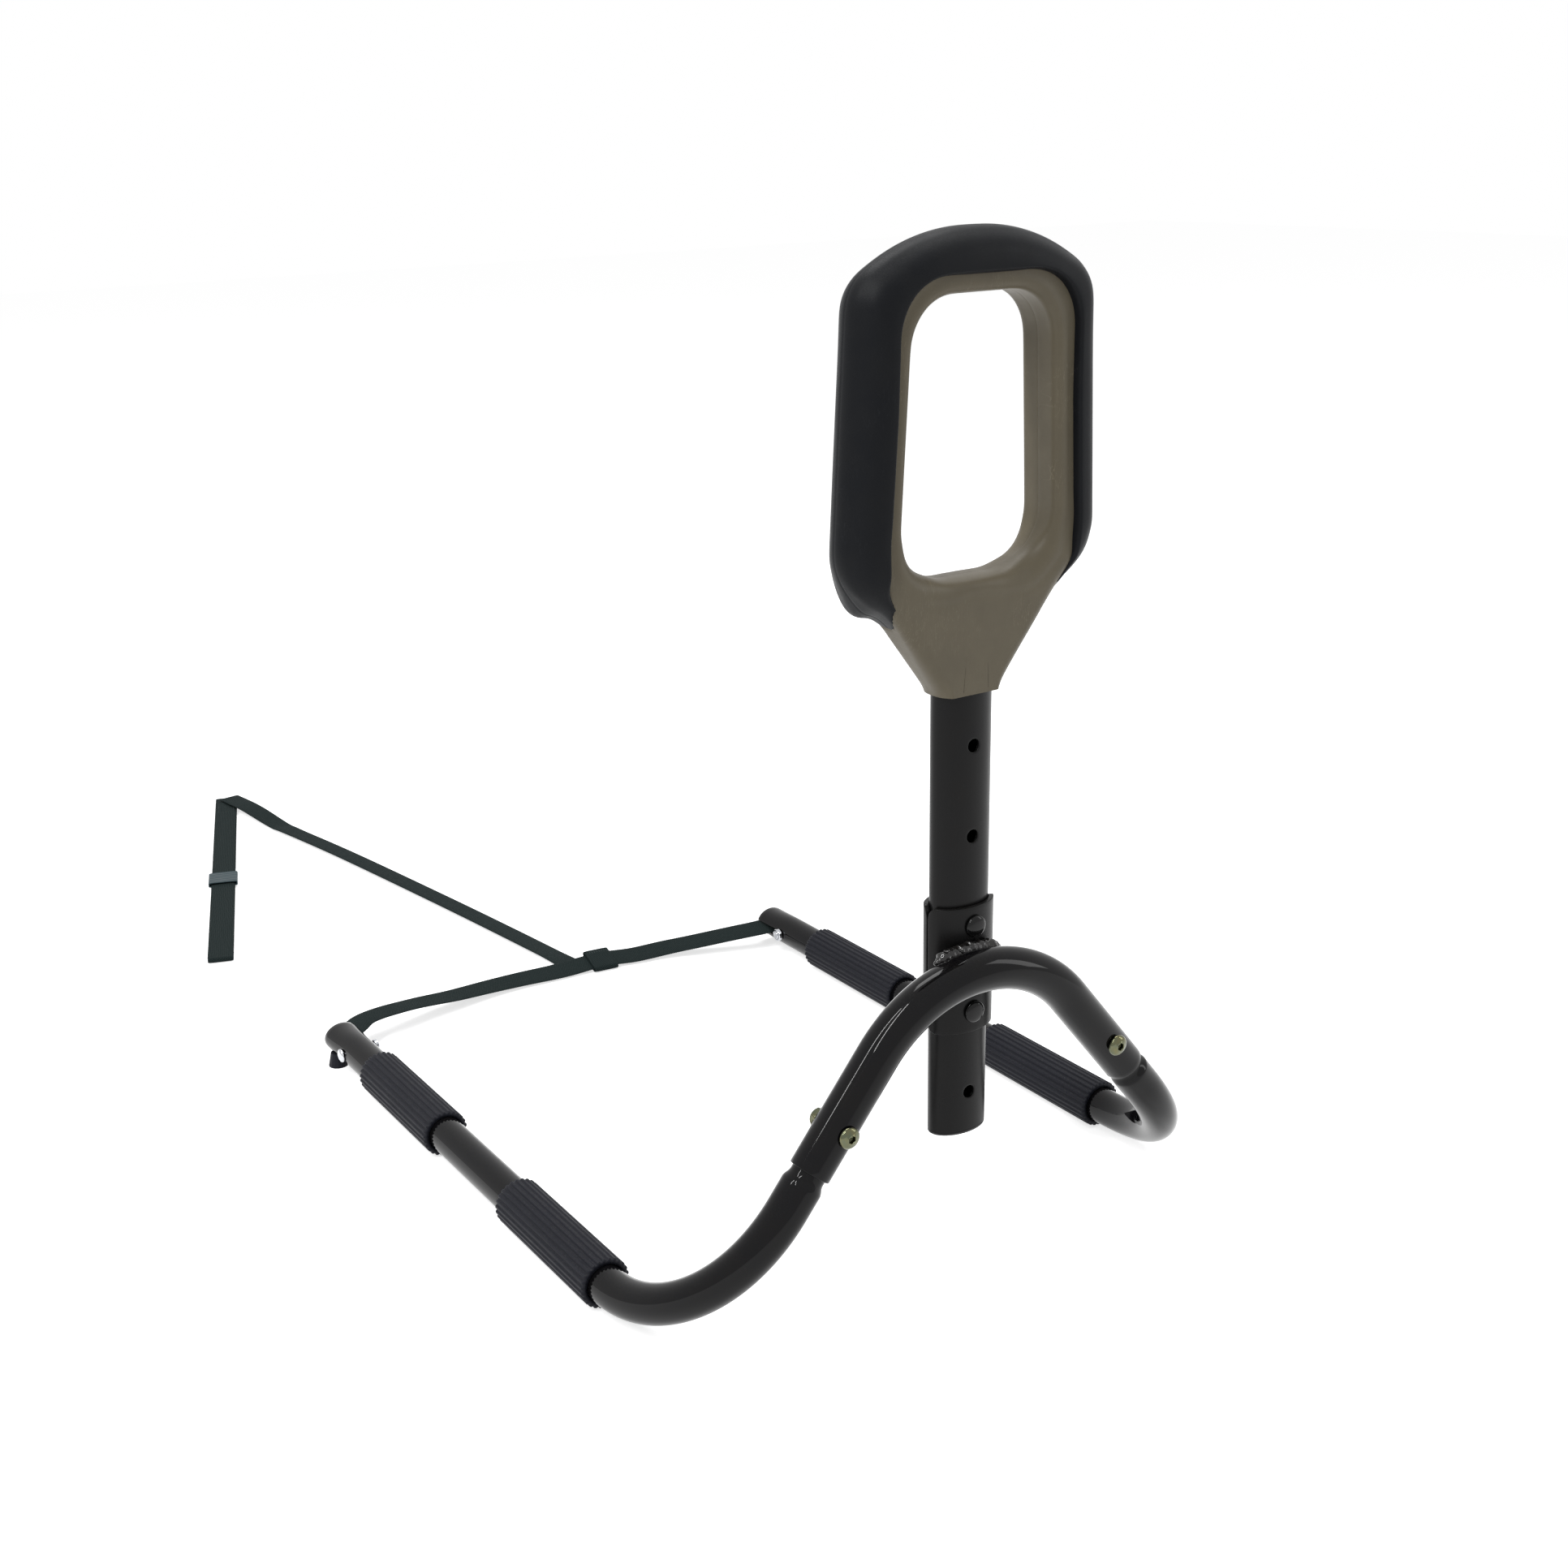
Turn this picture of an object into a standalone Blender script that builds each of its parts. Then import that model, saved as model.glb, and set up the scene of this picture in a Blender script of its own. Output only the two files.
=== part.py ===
"""Bed assist bar: a grab handle on a height-set post, an arch and two legs that lie under a mattress.

Metres, +Z up. X runs along the side of the bed, Y under the mattress. The origin lies on the surface
that the legs rest on, in the middle of the frame. Design coordinates have y = 0 on the post's axis.
"""
import math

import bmesh
import bpy
import numpy as np
from mathutils import Matrix, Vector

# general
GAP = 0.0003                   # clearance between pieces that touch
TUBE_WALL = 0.0016             # wall of all steel tubes
TUBE_SIDES = 16

# arch
ARCH_R = 0.0118                # outer radius of the arch tube
APEX_R = 0.0852                # bend radius of the arch's top, on the tube's axis
SPLAY = math.radians(39.2)     # limbs lean out by this from upright
APEX_Z = 0.1922                # height of the tube's axis at the top
LIMB = 0.0700                  # straight limb, from the top bend to the open end
JOINT_BOLT_S = 0.0438          # joint bolt's place along the limb

# legs
LEG_R = 0.01165                # outer radius of a leg tube
LEG_BEND_R = 0.0950            # bend from limb to leg
LEG_END_Y = 0.4600             # open end, from the post's axis
NECK_CLEAR = 0.00035           # all round, between the swaged neck and the limb
NECK_IN = 0.0420               # neck's length inside the limb
NECK_OUT = 0.0030              # neck that shows below the limb
NECK_TAPER = 0.0060            # from neck to full tube
END_SQUASH = 0.0340            # length over which the end is flattened
END_HALF_H = 0.0104            # half height of the flattened end
SLOT_LENGTH = 0.0240           # strap slot in the inner wall, open at the end
SLOT_HEIGHT = 0.0060

# ribbed grips on the legs
GRIP_R = 0.01534               # to the tops of the ribs
GRIP_RIBS = 26
RIB_DEPTH = 0.0009
RIB_HALF = 0.27                # half of a rib's flat top, as a share of the pitch
GRIP_NEAR_Y = 0.0690           # start of the first grip on both legs
GRIP_NEAR_LENGTH = 0.1100
GRIP_FAR_Y = 0.2820
GRIP_FAR_LENGTH = 0.1080

# post
POST_X = 0.0087                # the post stands a little to one side of the arch's middle
POST_W = 0.0370
POST_D = 0.0228
POST_BOTTOM = 0.0862
POST_TOP = 0.3900
HOLE_PITCH = 0.0508
HOLE_FIRST = 0.0252            # lowest hole above the post's lower end
HOLE_D = 0.0075
HOLE_COUNT = 5
PLUG_LIP = 0.0022              # plug's rim below the post
PLUG_EDGE = 0.0006             # rounding of the rim
PLUG_SPIGOT = 0.0140           # whole height with the part inside the post

# sleeve: two formed shells round the post
SHELL_T = 0.0027
SHELL_BOTTOM = 0.1500
SHELL_TOP = 0.2275
SHELL_CORNER = 0.0070
HEIGHT_BOLT_HOLES = (1, 2)     # holes of the post that the two height bolts use, from the lowest
HEIGHT_HEAD_R = 0.0063
HEIGHT_HEAD_H = 0.0028
BOLT_R = 0.0030                # shank of all bolts
BOLT_HOLE_R = 0.0033

# joint bolts
JOINT_HEAD_R = 0.0062
JOINT_HEAD_H = 0.0036
HEAD_RIM = 0.0008              # straight rim under a head's dome
SOCKET_R = 0.0022
SOCKET_DEPTH = 0.0021
BOLT_TIP = 0.0020              # bolts pass their nuts by this
NUT_R = 0.0058
NUT_H = 0.0050

# weld bead between the arch's top and the sleeve
WELD_LENGTH = 0.0400
WELD_X = -0.0045               # its middle, from the post's axis
WELD_R = 0.0043
WELD_RIPPLE = 0.00035
WELD_BACK = 0.0095             # its axis lies this far behind the arch's axis
WELD_UP = 0.0092               # and this far above it

# handle: outlines are given by their corners before rounding, at the middle of the depth
HANDLE_TOP = 0.5778            # top of the dome
FUNNEL_Z = 0.3978              # where the funnel meets the hips
NECK_Z = 0.3395                # lower end of the neck
HANDLE_DEPTH = 0.0290          # front to back
HANDLE_EDGE = 0.0105           # rounding of the ring's section
HIP_W = 0.1618                 # outer width at the hips, the greatest
DOME_W_SHARE = 0.41            # width between the dome's two corners, as a share of the hips' width
DOME_R_SHARE = 0.64            # rounding of those corners, as a share of the same width
SHOULDER_IN = 0.0074           # shoulders, in from the hips on each side
SHOULDER_DOWN = 0.0239         # shoulders below the top
SHOULDER_R = 0.0270
HIP_UP = 0.0148                # hips above the funnel's edge
HIP_R = 0.0235
HIP_DROP = 0.0150              # the hips reach this much lower at the back than in front
HIP_FADE = 0.0600              # height over which that drop fades out
FUNNEL_IN = 0.0245             # funnel's edge, in from the hips on each side
FUNNEL_R = 0.0240
NECK_W = 0.0394                # outer width at the neck's lower end
NECK_D = 0.0260                # front to back there
NECK_R = 0.0030
OPENING_DOWN = 0.0312          # opening's upper edge below the top
OPENING_UP = 0.0074            # opening's lowest part above the funnel's edge
OPENING_RISE = 0.0110          # its lower corners lie above its lowest part
RING_W_TOP = 0.0308            # width of the ring's side, at the opening's upper corners
RING_W_LOW = 0.0320            # and at its lower corners
FLOOR_IN = 0.0295              # the level lower edge is in from those corners
OPENING_R_TOP = 0.0256
OPENING_R_LOW = 0.0260
OPENING_R_FLOOR = 0.0300
LEAN = 0.016                   # the ring leans forward by this slope
LEAN_UP = 0.0205               # from this height above the neck's lower end
SIDE_W_TOP = 0.0181            # width of the grip's side seen from the front, at the top
SIDE_W_LOW = 0.0200            # and low down
LINER_DOWN = 0.0218            # liner's upper edge below the top
LINER_R = 0.0280
LINER_R_LOW = 0.0200
LINER_SIDE = 0.0230            # height of the liner's lower corner
GRIP_SHELL = 0.0045            # thickness of the grip over the core
GRIP_TIP_DOWN = 0.0168         # lower tips of the grip below the funnel's edge
# the grip's lower edge, front to back: depth as a share of the handle's, height above the tips as a
# share of the tips' drop
GRIP_LOWER_EDGE = ((-1.00, 3.10), (-0.45, 1.79), (-0.26, 0.71), (-0.07, 0.03), (0.14, -0.06), (1.00, 0.15))

# straps
STRAP_W = 0.0200
STRAP_T = 0.0014
STRAP_BOW = 0.0450             # the cross strap's middle is drawn out by this
STRAP_SAG = 0.0012             # each half of it hangs below a straight line by this
TETHER_X = 0.0400              # where the tether meets the cross strap
TETHER_END = (-0.0640, 1.0670)  # far end of the tether, where the strap doubles back
TAIL_END = (-0.2010, 0.6800)   # end of the doubled strap
COLLAR_L = 0.0310              # sewn loop round the cross strap
BUCKLE_S = 0.2330              # buckle's middle, from the tether's end along the doubled strap
BUCKLE_L = 0.0120
BUCKLE_W = 0.0250
BUCKLE_WALL = 0.0010
TAIL_LEAD = 0.0080             # the doubled strap runs on past both of its marked ends
LIFT_RUN = 0.1300              # the tether rises on to the doubled strap over this length

# fastening of the straps at the legs
STRAP_BOLT_Y = 0.4300
STRAP_HEAD_R = 0.0048
STRAP_HEAD_H = 0.0024
STRAP_NUT_H = 0.0028
FOOT_R = 0.0070
FOOT_TOP_R = 0.0048
FOOT_H = 0.0100
FOOT_OUT = 0.0085              # foot's middle, out from the leg's axis
FOOT_Y = 0.4480

# values that follow
ARCH_Y = -(POST_D / 2 + GAP + SHELL_T + GAP + ARCH_R)
ARC_Z = APEX_Z - APEX_R
LEG_Z = GRIP_R
LIMB_TOP = Vector((APEX_R * math.cos(SPLAY), 0, ARC_Z + APEX_R * math.sin(SPLAY)))
BEND_S = (LIMB_TOP.z - LEG_Z - LEG_BEND_R * math.cos(SPLAY)) / math.cos(SPLAY)
LEG_X = LIMB_TOP.x + (BEND_S + LEG_BEND_R) * math.sin(SPLAY)
SWAGE_R = ARCH_R - TUBE_WALL - NECK_CLEAR
HOLE_Z = [POST_BOTTOM + HOLE_FIRST + k * HOLE_PITCH for k in range(HOLE_COUNT)]
FRONT_Y = ARCH_Y - ARCH_R - JOINT_HEAD_H - GAP
SHIFT_Y = -(FRONT_Y + LEG_END_Y) / 2
LEG_WIDE = LEG_R + (LEG_R - END_HALF_H)          # half width of the flattened end, with the same girth
SQUASH_Y = [LEG_END_Y - END_SQUASH * k / 3 for k in (3, 2, 1, 0)]
SHOULDER_Z = HANDLE_TOP - SHOULDER_DOWN
SHOULDER_W = HIP_W - 2 * SHOULDER_IN
FUNNEL_W = HIP_W - 2 * FUNNEL_IN
OPENING_W_TOP = SHOULDER_W - 2 * RING_W_TOP
OPENING_W_LOW = HIP_W - 2 * RING_W_LOW
LINER_W_TOP = SHOULDER_W - 2 * SIDE_W_TOP
LINER_W_LOW = HIP_W - 2 * SIDE_W_LOW
OPENING_TOP = HANDLE_TOP - OPENING_DOWN
LINER_TOP = HANDLE_TOP - LINER_DOWN
HIP_Z = FUNNEL_Z + HIP_UP
OPENING_BOTTOM = FUNNEL_Z + OPENING_UP
GRIP_TIP_Z = FUNNEL_Z - GRIP_TIP_DOWN
LEAN_Z = NECK_Z + LEAN_UP
BEYOND = 2 * HIP_W                               # reach of cutters that pass right through


def clear_scene():
    for item in list(bpy.data.objects):
        bpy.data.objects.remove(item, do_unlink=True)


def make_collections():
    parts = bpy.data.collections.new("bed_assist_bar")
    cutters = bpy.data.collections.new("cutters")
    bpy.context.scene.collection.children.link(parts)
    bpy.context.scene.collection.children.link(cutters)
    return parts, cutters


clear_scene()
PARTS, CUTTERS = make_collections()
FRAME = bpy.data.objects.new("frame_origin", None)
FRAME.location = (0, SHIFT_Y, 0)
PARTS.objects.link(FRAME)
HANDLE_AXIS = bpy.data.objects.new("height_axis", None)
HANDLE_AXIS.location = (POST_X, 0, 0)
HANDLE_AXIS.parent = FRAME
PARTS.objects.link(HANDLE_AXIS)


def material(name, colour, roughness, metallic=0.0):
    mat = bpy.data.materials.new(name)
    mat.use_nodes = True
    shader = mat.node_tree.nodes["Principled BSDF"]
    shader.inputs["Base Color"].default_value = (*colour, 1)
    shader.inputs["Roughness"].default_value = roughness
    shader.inputs["Metallic"].default_value = metallic
    return mat


PAINT = ("paint", (0.012, 0.012, 0.014), 0.18, 0.0)
GRIP_BLACK = ("grip_black", (0.016, 0.017, 0.020), 0.75, 0.0)
TAUPE = ("taupe", (0.115, 0.098, 0.072), 0.45, 0.0)
RUBBER = ("rubber", (0.022, 0.022, 0.027), 0.8, 0.0)
ZINC = ("zinc", (0.55, 0.53, 0.40), 0.3, 1.0)
CHROME = ("chrome", (0.75, 0.76, 0.78), 0.15, 1.0)
BLACK_STEEL = ("black_steel", (0.03, 0.03, 0.033), 0.25, 0.6)
WELD = ("weld", (0.03, 0.028, 0.028), 0.35, 0.5)
WEBBING = ("webbing", (0.022, 0.032, 0.031), 0.9, 0.0)
BUCKLE = ("buckle_plastic", (0.045, 0.072, 0.082), 0.5, 0.0)
CAP = ("cap", (0.014, 0.014, 0.015), 0.5, 0.0)


def add_part(name, mesh, look, parent=FRAME, smooth=40):
    """Puts a mesh in the parts collection under an empty, with its own material."""
    obj = bpy.data.objects.new(name, mesh)
    PARTS.objects.link(obj)
    obj.parent = parent
    if parent is HANDLE_AXIS:
        mesh.transform(Matrix.Translation((-POST_X, 0, 0)))
    mesh.materials.clear()
    mesh.materials.append(material(f"{name}_{look[0]}", *look[1:]))
    if smooth:
        mesh.shade_smooth()
        mesh.set_sharp_from_angle(angle=math.radians(smooth))
    return obj


def mesh_from(obj):
    """Evaluated mesh of a helper object in world space, welded; the helper is removed."""
    graph = bpy.context.evaluated_depsgraph_get()
    mesh = bpy.data.meshes.new_from_object(obj.evaluated_get(graph))
    mesh.transform(obj.matrix_world)
    bm = bmesh.new()
    bm.from_mesh(mesh)
    bmesh.ops.remove_doubles(bm, verts=bm.verts, dist=1e-6)
    bmesh.ops.recalc_face_normals(bm, faces=bm.faces)
    bm.to_mesh(mesh)
    bm.free()
    bpy.data.objects.remove(obj, do_unlink=True)
    return mesh


def helper(name, data):
    obj = bpy.data.objects.new(name, data)
    CUTTERS.objects.link(obj)
    obj.hide_render = True
    obj.display_type = "WIRE"
    return obj


def swept(name, points, radii, sides=TUBE_SIDES, caps=True):
    """Round bar along points, as a mesh; radii is one value or one for each point."""
    curve = bpy.data.curves.new(name, "CURVE")
    curve.dimensions = "3D"
    biggest = radii if isinstance(radii, float) else max(radii)
    curve.bevel_depth = biggest
    curve.bevel_resolution = (sides - 4) // 2
    curve.use_fill_caps = caps
    spline = curve.splines.new("POLY")
    spline.points.add(len(points) - 1)
    for i, point in enumerate(points):
        spline.points[i].co = (*point, 1)
        spline.points[i].radius = 1.0 if isinstance(radii, float) else radii[i] / biggest
    return mesh_from(helper(name, curve))


def flat_solid(name, loops, thickness, edge=0.0, steps=2, shrink=0.0):
    """2D outlines filled and extruded to a thickness about z = 0, with rounded edges if asked.

    A shrink draws the whole surface in by that much."""
    curve = bpy.data.curves.new(name, "CURVE")
    curve.dimensions = "2D"
    curve.fill_mode = "BOTH"
    curve.extrude = thickness / 2 - edge if edge else thickness / 2
    curve.bevel_depth = max(edge - shrink, 0.0)
    curve.bevel_resolution = steps
    curve.offset = -edge if edge else -shrink
    for loop in loops:
        spline = curve.splines.new("POLY")
        spline.points.add(len(loop) - 1)
        for i, (x, y) in enumerate(loop):
            spline.points[i].co = (x, y, 0, 1)
        spline.use_cyclic_u = True
    return mesh_from(helper(name, curve))


def pipe(mesh, wall):
    """Turns an open surface into a shell of the wall's thickness, inwards."""
    obj = helper("pipe", mesh)
    shell = obj.modifiers.new("wall", "SOLIDIFY")
    shell.thickness = wall
    shell.offset = -1
    shell.use_even_offset = True
    return mesh_from(obj)


def boolean(mesh, others, operation="DIFFERENCE"):
    """Cuts or joins meshes with the exact solver."""
    base = helper("base", mesh)
    tools = []
    for other in others:
        tool = helper("tool", other)
        tools.append(tool)
        step = base.modifiers.new("step", "BOOLEAN")
        step.operation = operation
        step.solver = "EXACT"
        step.object = tool
    result = mesh_from(base)
    for tool in tools:
        bpy.data.objects.remove(tool, do_unlink=True)
    return result


def rod(radius, length, centre, axis="Z", sides=16, top=None):
    """Cylinder or cone as a mesh, centred, along an axis."""
    mesh = bpy.data.meshes.new("rod")
    bm = bmesh.new()
    bmesh.ops.create_cone(bm, cap_ends=True, segments=sides, radius1=radius,
                          radius2=radius if top is None else top, depth=length)
    bm.to_mesh(mesh)
    bm.free()
    turn = {"Z": Matrix.Identity(4), "X": Matrix.Rotation(math.pi / 2, 4, "Y"),
            "Y": Matrix.Rotation(-math.pi / 2, 4, "X")}[axis]
    mesh.transform(Matrix.Translation(centre) @ turn)
    return mesh


def block(size, centre):
    mesh = bpy.data.meshes.new("block")
    bm = bmesh.new()
    bmesh.ops.create_cube(bm, size=1.0)
    bm.to_mesh(mesh)
    bm.free()
    mesh.transform(Matrix.Translation(centre) @ Matrix.Diagonal((*size, 1)))
    return mesh


def turned(name, profile, steps=16):
    """Profile (r, z) from the top of the outer side down, turned round Z."""
    mesh = bpy.data.meshes.new(name)
    verts = [(r, 0, z) for r, z in profile]
    mesh.from_pydata(verts, [(i, i + 1) for i in range(len(verts) - 1)], [])
    obj = helper(name, mesh)
    screw = obj.modifiers.new("turn", "SCREW")
    screw.steps = steps
    screw.render_steps = steps
    screw.use_merge_vertices = True
    screw.merge_threshold = 1e-5
    screw.use_smooth_shade = False
    return mesh_from(obj)


def ellipse(width, depth, count=28, cx=0.0):
    turns = [2 * math.pi * i / count for i in range(count)]
    return [(cx + width / 2 * math.cos(a), depth / 2 * math.sin(a)) for a in turns]


# arch and legs
def on_limb(side, s, y=0.0):
    """Point at distance s down a limb's axis; side is -1 or 1."""
    return Vector((side * (LIMB_TOP.x + s * math.sin(SPLAY)), ARCH_Y + y, LIMB_TOP.z - s * math.cos(SPLAY)))


def arch_points(steps=12):
    points = [on_limb(-1, LIMB)]
    for i in range(steps + 1):
        angle = math.pi - SPLAY - (math.pi - 2 * SPLAY) * i / steps
        points.append(Vector((APEX_R * math.cos(angle), ARCH_Y, ARC_Z + APEX_R * math.sin(angle))))
    points.append(on_limb(1, LIMB))
    return points


def make_arch():
    mesh = pipe(swept("arch", arch_points(), ARCH_R, caps=False), TUBE_WALL)
    holes = [rod(BOLT_HOLE_R, 3 * ARCH_R, on_limb(side, JOINT_BOLT_S), "Y", 12) for side in (-1, 1)]
    add_part("arch_tube", boolean(mesh, holes), PAINT)


def leg_points(side):
    """Axis points and radii of a leg, from inside the limb to the open end."""
    full = LIMB + NECK_OUT + NECK_TAPER
    stations = [(LIMB - NECK_IN, SWAGE_R), (LIMB + NECK_OUT, SWAGE_R), (full, LEG_R)]
    points = [on_limb(side, s) for s, _ in stations]
    radii = [r for _, r in stations]
    start = on_limb(side, BEND_S)
    down = Vector((side * math.sin(SPLAY), 0, -math.cos(SPLAY)))
    along = Vector((0, 1, 0))
    steps = 8
    for i in range(steps + 1):
        a = math.pi / 2 * i / steps
        points.append(start + LEG_BEND_R * (math.sin(a) * down + (1 - math.cos(a)) * along))
        radii.append(LEG_R)
    for y in SQUASH_Y:
        points.append(Vector((side * LEG_X, y, LEG_Z)))
        radii.append(LEG_R)
    return points, radii


def squash_end(mesh, side, grow=0.0):
    """Flattens the leg's open end: lower and wider, with the same girth; grow adds clearance."""
    for vert in mesh.vertices:
        t = min(max((vert.co.y - (LEG_END_Y - END_SQUASH)) / END_SQUASH, 0), 1)
        t = t * t * (3 - 2 * t)
        if vert.co.y > LEG_END_Y - 2 * END_SQUASH:
            more = grow / LEG_R
            vert.co.z = LEG_Z + (vert.co.z - LEG_Z) * (1 + t * (END_HALF_H / LEG_R - 1) + more)
            vert.co.x = side * LEG_X + (vert.co.x - side * LEG_X) * (1 + t * (LEG_WIDE / LEG_R - 1) + more)


def make_leg(side, name):
    points, radii = leg_points(side)
    mesh = swept(name, points, radii, caps=False)
    squash_end(mesh, side)
    mesh = pipe(mesh, TUBE_WALL)
    slot_x = side * (LEG_X - LEG_R)
    cuts = [rod(BOLT_HOLE_R, 3 * ARCH_R, on_limb(side, JOINT_BOLT_S), "Y", 12),
            rod(BOLT_HOLE_R, 3 * LEG_R, (side * LEG_X, STRAP_BOLT_Y, LEG_Z), "X", 12),
            block((LEG_R, 2 * SLOT_LENGTH, SLOT_HEIGHT), (slot_x, LEG_END_Y, LEG_Z))]
    add_part(name, boolean(mesh, cuts), PAINT)


def rib_outline():
    """Ribs with flat tops, and a narrow valley in the middle between two of them."""
    points = []
    top = GRIP_R / math.cos(2 * math.pi * RIB_HALF / GRIP_RIBS)
    for i in range(GRIP_RIBS):
        for part, reach in ((-RIB_HALF, top), (RIB_HALF, top), (0.5, GRIP_R - RIB_DEPTH)):
            angle = -math.pi / 2 + 2 * math.pi * (i + part) / GRIP_RIBS
            points.append((reach * math.cos(angle), reach * math.sin(angle)))
    return points


def make_grip(name, side, start, length):
    """Ribbed sleeve pushed over a leg; one rib's flat top points straight down."""
    bore = ellipse(2 * (LEG_R + GAP), 2 * (LEG_R + GAP), 20)
    mesh = flat_solid(name, [rib_outline(), bore], length)
    place = Matrix.Translation((side * LEG_X, start + length / 2, LEG_Z))
    mesh.transform(place @ Matrix.Rotation(math.pi / 2, 4, "X"))
    add_part(name, mesh, RUBBER, smooth=20)


# fasteners
def button_head(radius, height):
    """Low domed head on z = 0 with its top at z = height."""
    steps = 4
    profile = [(0.0, height)]
    for i in range(1, steps + 1):
        a = math.pi / 2 * i / steps
        profile.append((radius * math.sin(a), HEAD_RIM + (height - HEAD_RIM) * math.cos(a)))
    profile.append((radius, 0.0))
    return profile


def bolt_mesh(head_r, head_h, length, socket=0.0):
    """Bolt with its head's seat at the origin, head towards -Y and shank towards +Y."""
    profile = button_head(head_r, head_h)
    profile = profile + [(BOLT_R, 0.0), (BOLT_R, -length), (0.0, -length)]
    mesh = turned("bolt", profile)
    if socket:
        mesh = boolean(mesh, [rod(socket, 2 * SOCKET_DEPTH, (0, 0, head_h), "Z", 6)])
    mesh.transform(Matrix.Rotation(math.pi / 2, 4, "X"))
    return mesh


def nut_mesh():
    """Hexagon nut whose seat is at y = 0 and whose body runs to +Y."""
    nut = rod(NUT_R, NUT_H, (0, NUT_H / 2, 0), "Y", 6)
    return boolean(nut, [rod(BOLT_R + GAP, 4 * NUT_H, (0, 0, 0), "Y", 12)])


def make_joint_fasteners(side, name):
    seat = on_limb(side, JOINT_BOLT_S, -ARCH_R - GAP)
    length = 2 * ARCH_R + 2 * GAP + NUT_H + BOLT_TIP
    bolt = bolt_mesh(JOINT_HEAD_R, JOINT_HEAD_H, length, SOCKET_R)
    bolt.transform(Matrix.Translation(seat))
    add_part(f"joint_bolt_{name}", bolt, ZINC)
    nut = nut_mesh()
    nut.transform(Matrix.Translation(on_limb(side, JOINT_BOLT_S, ARCH_R + GAP)))
    add_part(f"joint_nut_{name}", nut, ZINC, smooth=0)


# post and sleeve
def make_post():
    outline = ellipse(POST_W, POST_D, 28, POST_X)
    inner = ellipse(POST_W - 2 * TUBE_WALL, POST_D - 2 * TUBE_WALL, 28, POST_X)
    mesh = flat_solid("post", [outline, inner], POST_TOP - POST_BOTTOM)
    mesh.transform(Matrix.Translation((0, 0, (POST_TOP + POST_BOTTOM) / 2)))
    holes = [rod(HOLE_D / 2, 2 * POST_D, (POST_X, 0, z), "Y", 14) for z in HOLE_Z]
    add_part("post_tube", boolean(mesh, holes), PAINT, HANDLE_AXIS)


def make_plug():
    """End plug: a rim under the tube and a spigot inside it."""
    middle = POST_BOTTOM - GAP - PLUG_LIP / 2
    outline = ellipse(POST_W - PLUG_EDGE, POST_D - PLUG_EDGE, 28, POST_X)
    rim = flat_solid("rim", [outline], PLUG_LIP, PLUG_EDGE, 1)
    rim.transform(Matrix.Translation((0, 0, middle)))
    inside = 2 * (TUBE_WALL + GAP)
    spigot = flat_solid("spigot", [ellipse(POST_W - inside, POST_D - inside, 28, POST_X)], PLUG_SPIGOT)
    spigot.transform(Matrix.Translation((0, 0, middle + PLUG_SPIGOT / 2)))
    add_part("post_plug", boolean(rim, [spigot], "UNION"), CAP, HANDLE_AXIS)


def shell_mesh(front):
    """Half sleeve: follows the post's oval on one side, with rounded corners."""
    a = POST_W / 2 + GAP + SHELL_T
    b = POST_D / 2 + GAP + SHELL_T
    columns, rows = 16, 6
    mesh = bpy.data.meshes.new("shell")
    bm = bmesh.new()
    bmesh.ops.create_grid(bm, x_segments=columns, y_segments=rows, size=1.0)
    for vert in bm.verts:
        u, v = vert.co.x, vert.co.y
        angle = math.pi / 2 * math.copysign(abs(u) ** 0.8, u)
        x, y = a * math.sin(angle), -b * math.cos(angle)
        far = (1 - abs(u)) * 1.1 * math.hypot(a, b)
        d = min(far / SHELL_CORNER, 1)
        trim = SHELL_CORNER * (1 - math.sqrt(1 - (1 - d) ** 2))
        half = (SHELL_TOP - SHELL_BOTTOM) / 2 - trim
        z = (SHELL_TOP + SHELL_BOTTOM) / 2 + v * half
        vert.co = (POST_X + x, y if front else -y, z)
    bmesh.ops.recalc_face_normals(bm, faces=bm.faces)
    bm.normal_update()
    middle = max(bm.faces, key=lambda f: abs(f.calc_center_median().y))
    if middle.normal.y * (-1 if front else 1) < 0:
        bmesh.ops.reverse_faces(bm, faces=bm.faces)
    bm.to_mesh(mesh)
    bm.free()
    return pipe(mesh, SHELL_T)


def make_shells():
    for front, name in ((True, "sleeve_front"), (False, "sleeve_back")):
        way = -1 if front else 1
        y = (POST_D / 2 + SHELL_T / 2) * way
        cuts = [rod(BOLT_HOLE_R, 4 * SHELL_T, (POST_X, y, HOLE_Z[k]), "Y", 12) for k in HEIGHT_BOLT_HOLES]
        cuts.append(block((2 * POST_W, POST_D, 2 * (SHELL_TOP - SHELL_BOTTOM)),
                          (POST_X, way * (GAP - POST_D) / 2, (SHELL_TOP + SHELL_BOTTOM) / 2)))
        add_part(name, boolean(shell_mesh(front), cuts), PAINT)


def make_height_fasteners():
    """Head with the shank that seats in the front shell, and tip with its nut at the back."""
    out = POST_D / 2 + GAP + SHELL_T + GAP
    for k, name in zip(HEIGHT_BOLT_HOLES, ("lower", "upper")):
        bolt = bolt_mesh(HEIGHT_HEAD_R, HEIGHT_HEAD_H, SHELL_T + GAP)
        bolt.transform(Matrix.Translation((POST_X, -out, HOLE_Z[k])))
        add_part(f"height_bolt_{name}", bolt, BLACK_STEEL)
        tip = rod(BOLT_R, NUT_H + SHELL_T + BOLT_TIP, (0, (NUT_H - SHELL_T + BOLT_TIP) / 2, 0), "Y", 12)
        nut = boolean(rod(NUT_R, NUT_H, (0, NUT_H / 2, 0), "Y", 6), [tip], "UNION")
        nut.transform(Matrix.Translation((POST_X, out, HOLE_Z[k])))
        add_part(f"height_nut_{name}", nut, BLACK_STEEL, smooth=0)


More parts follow.
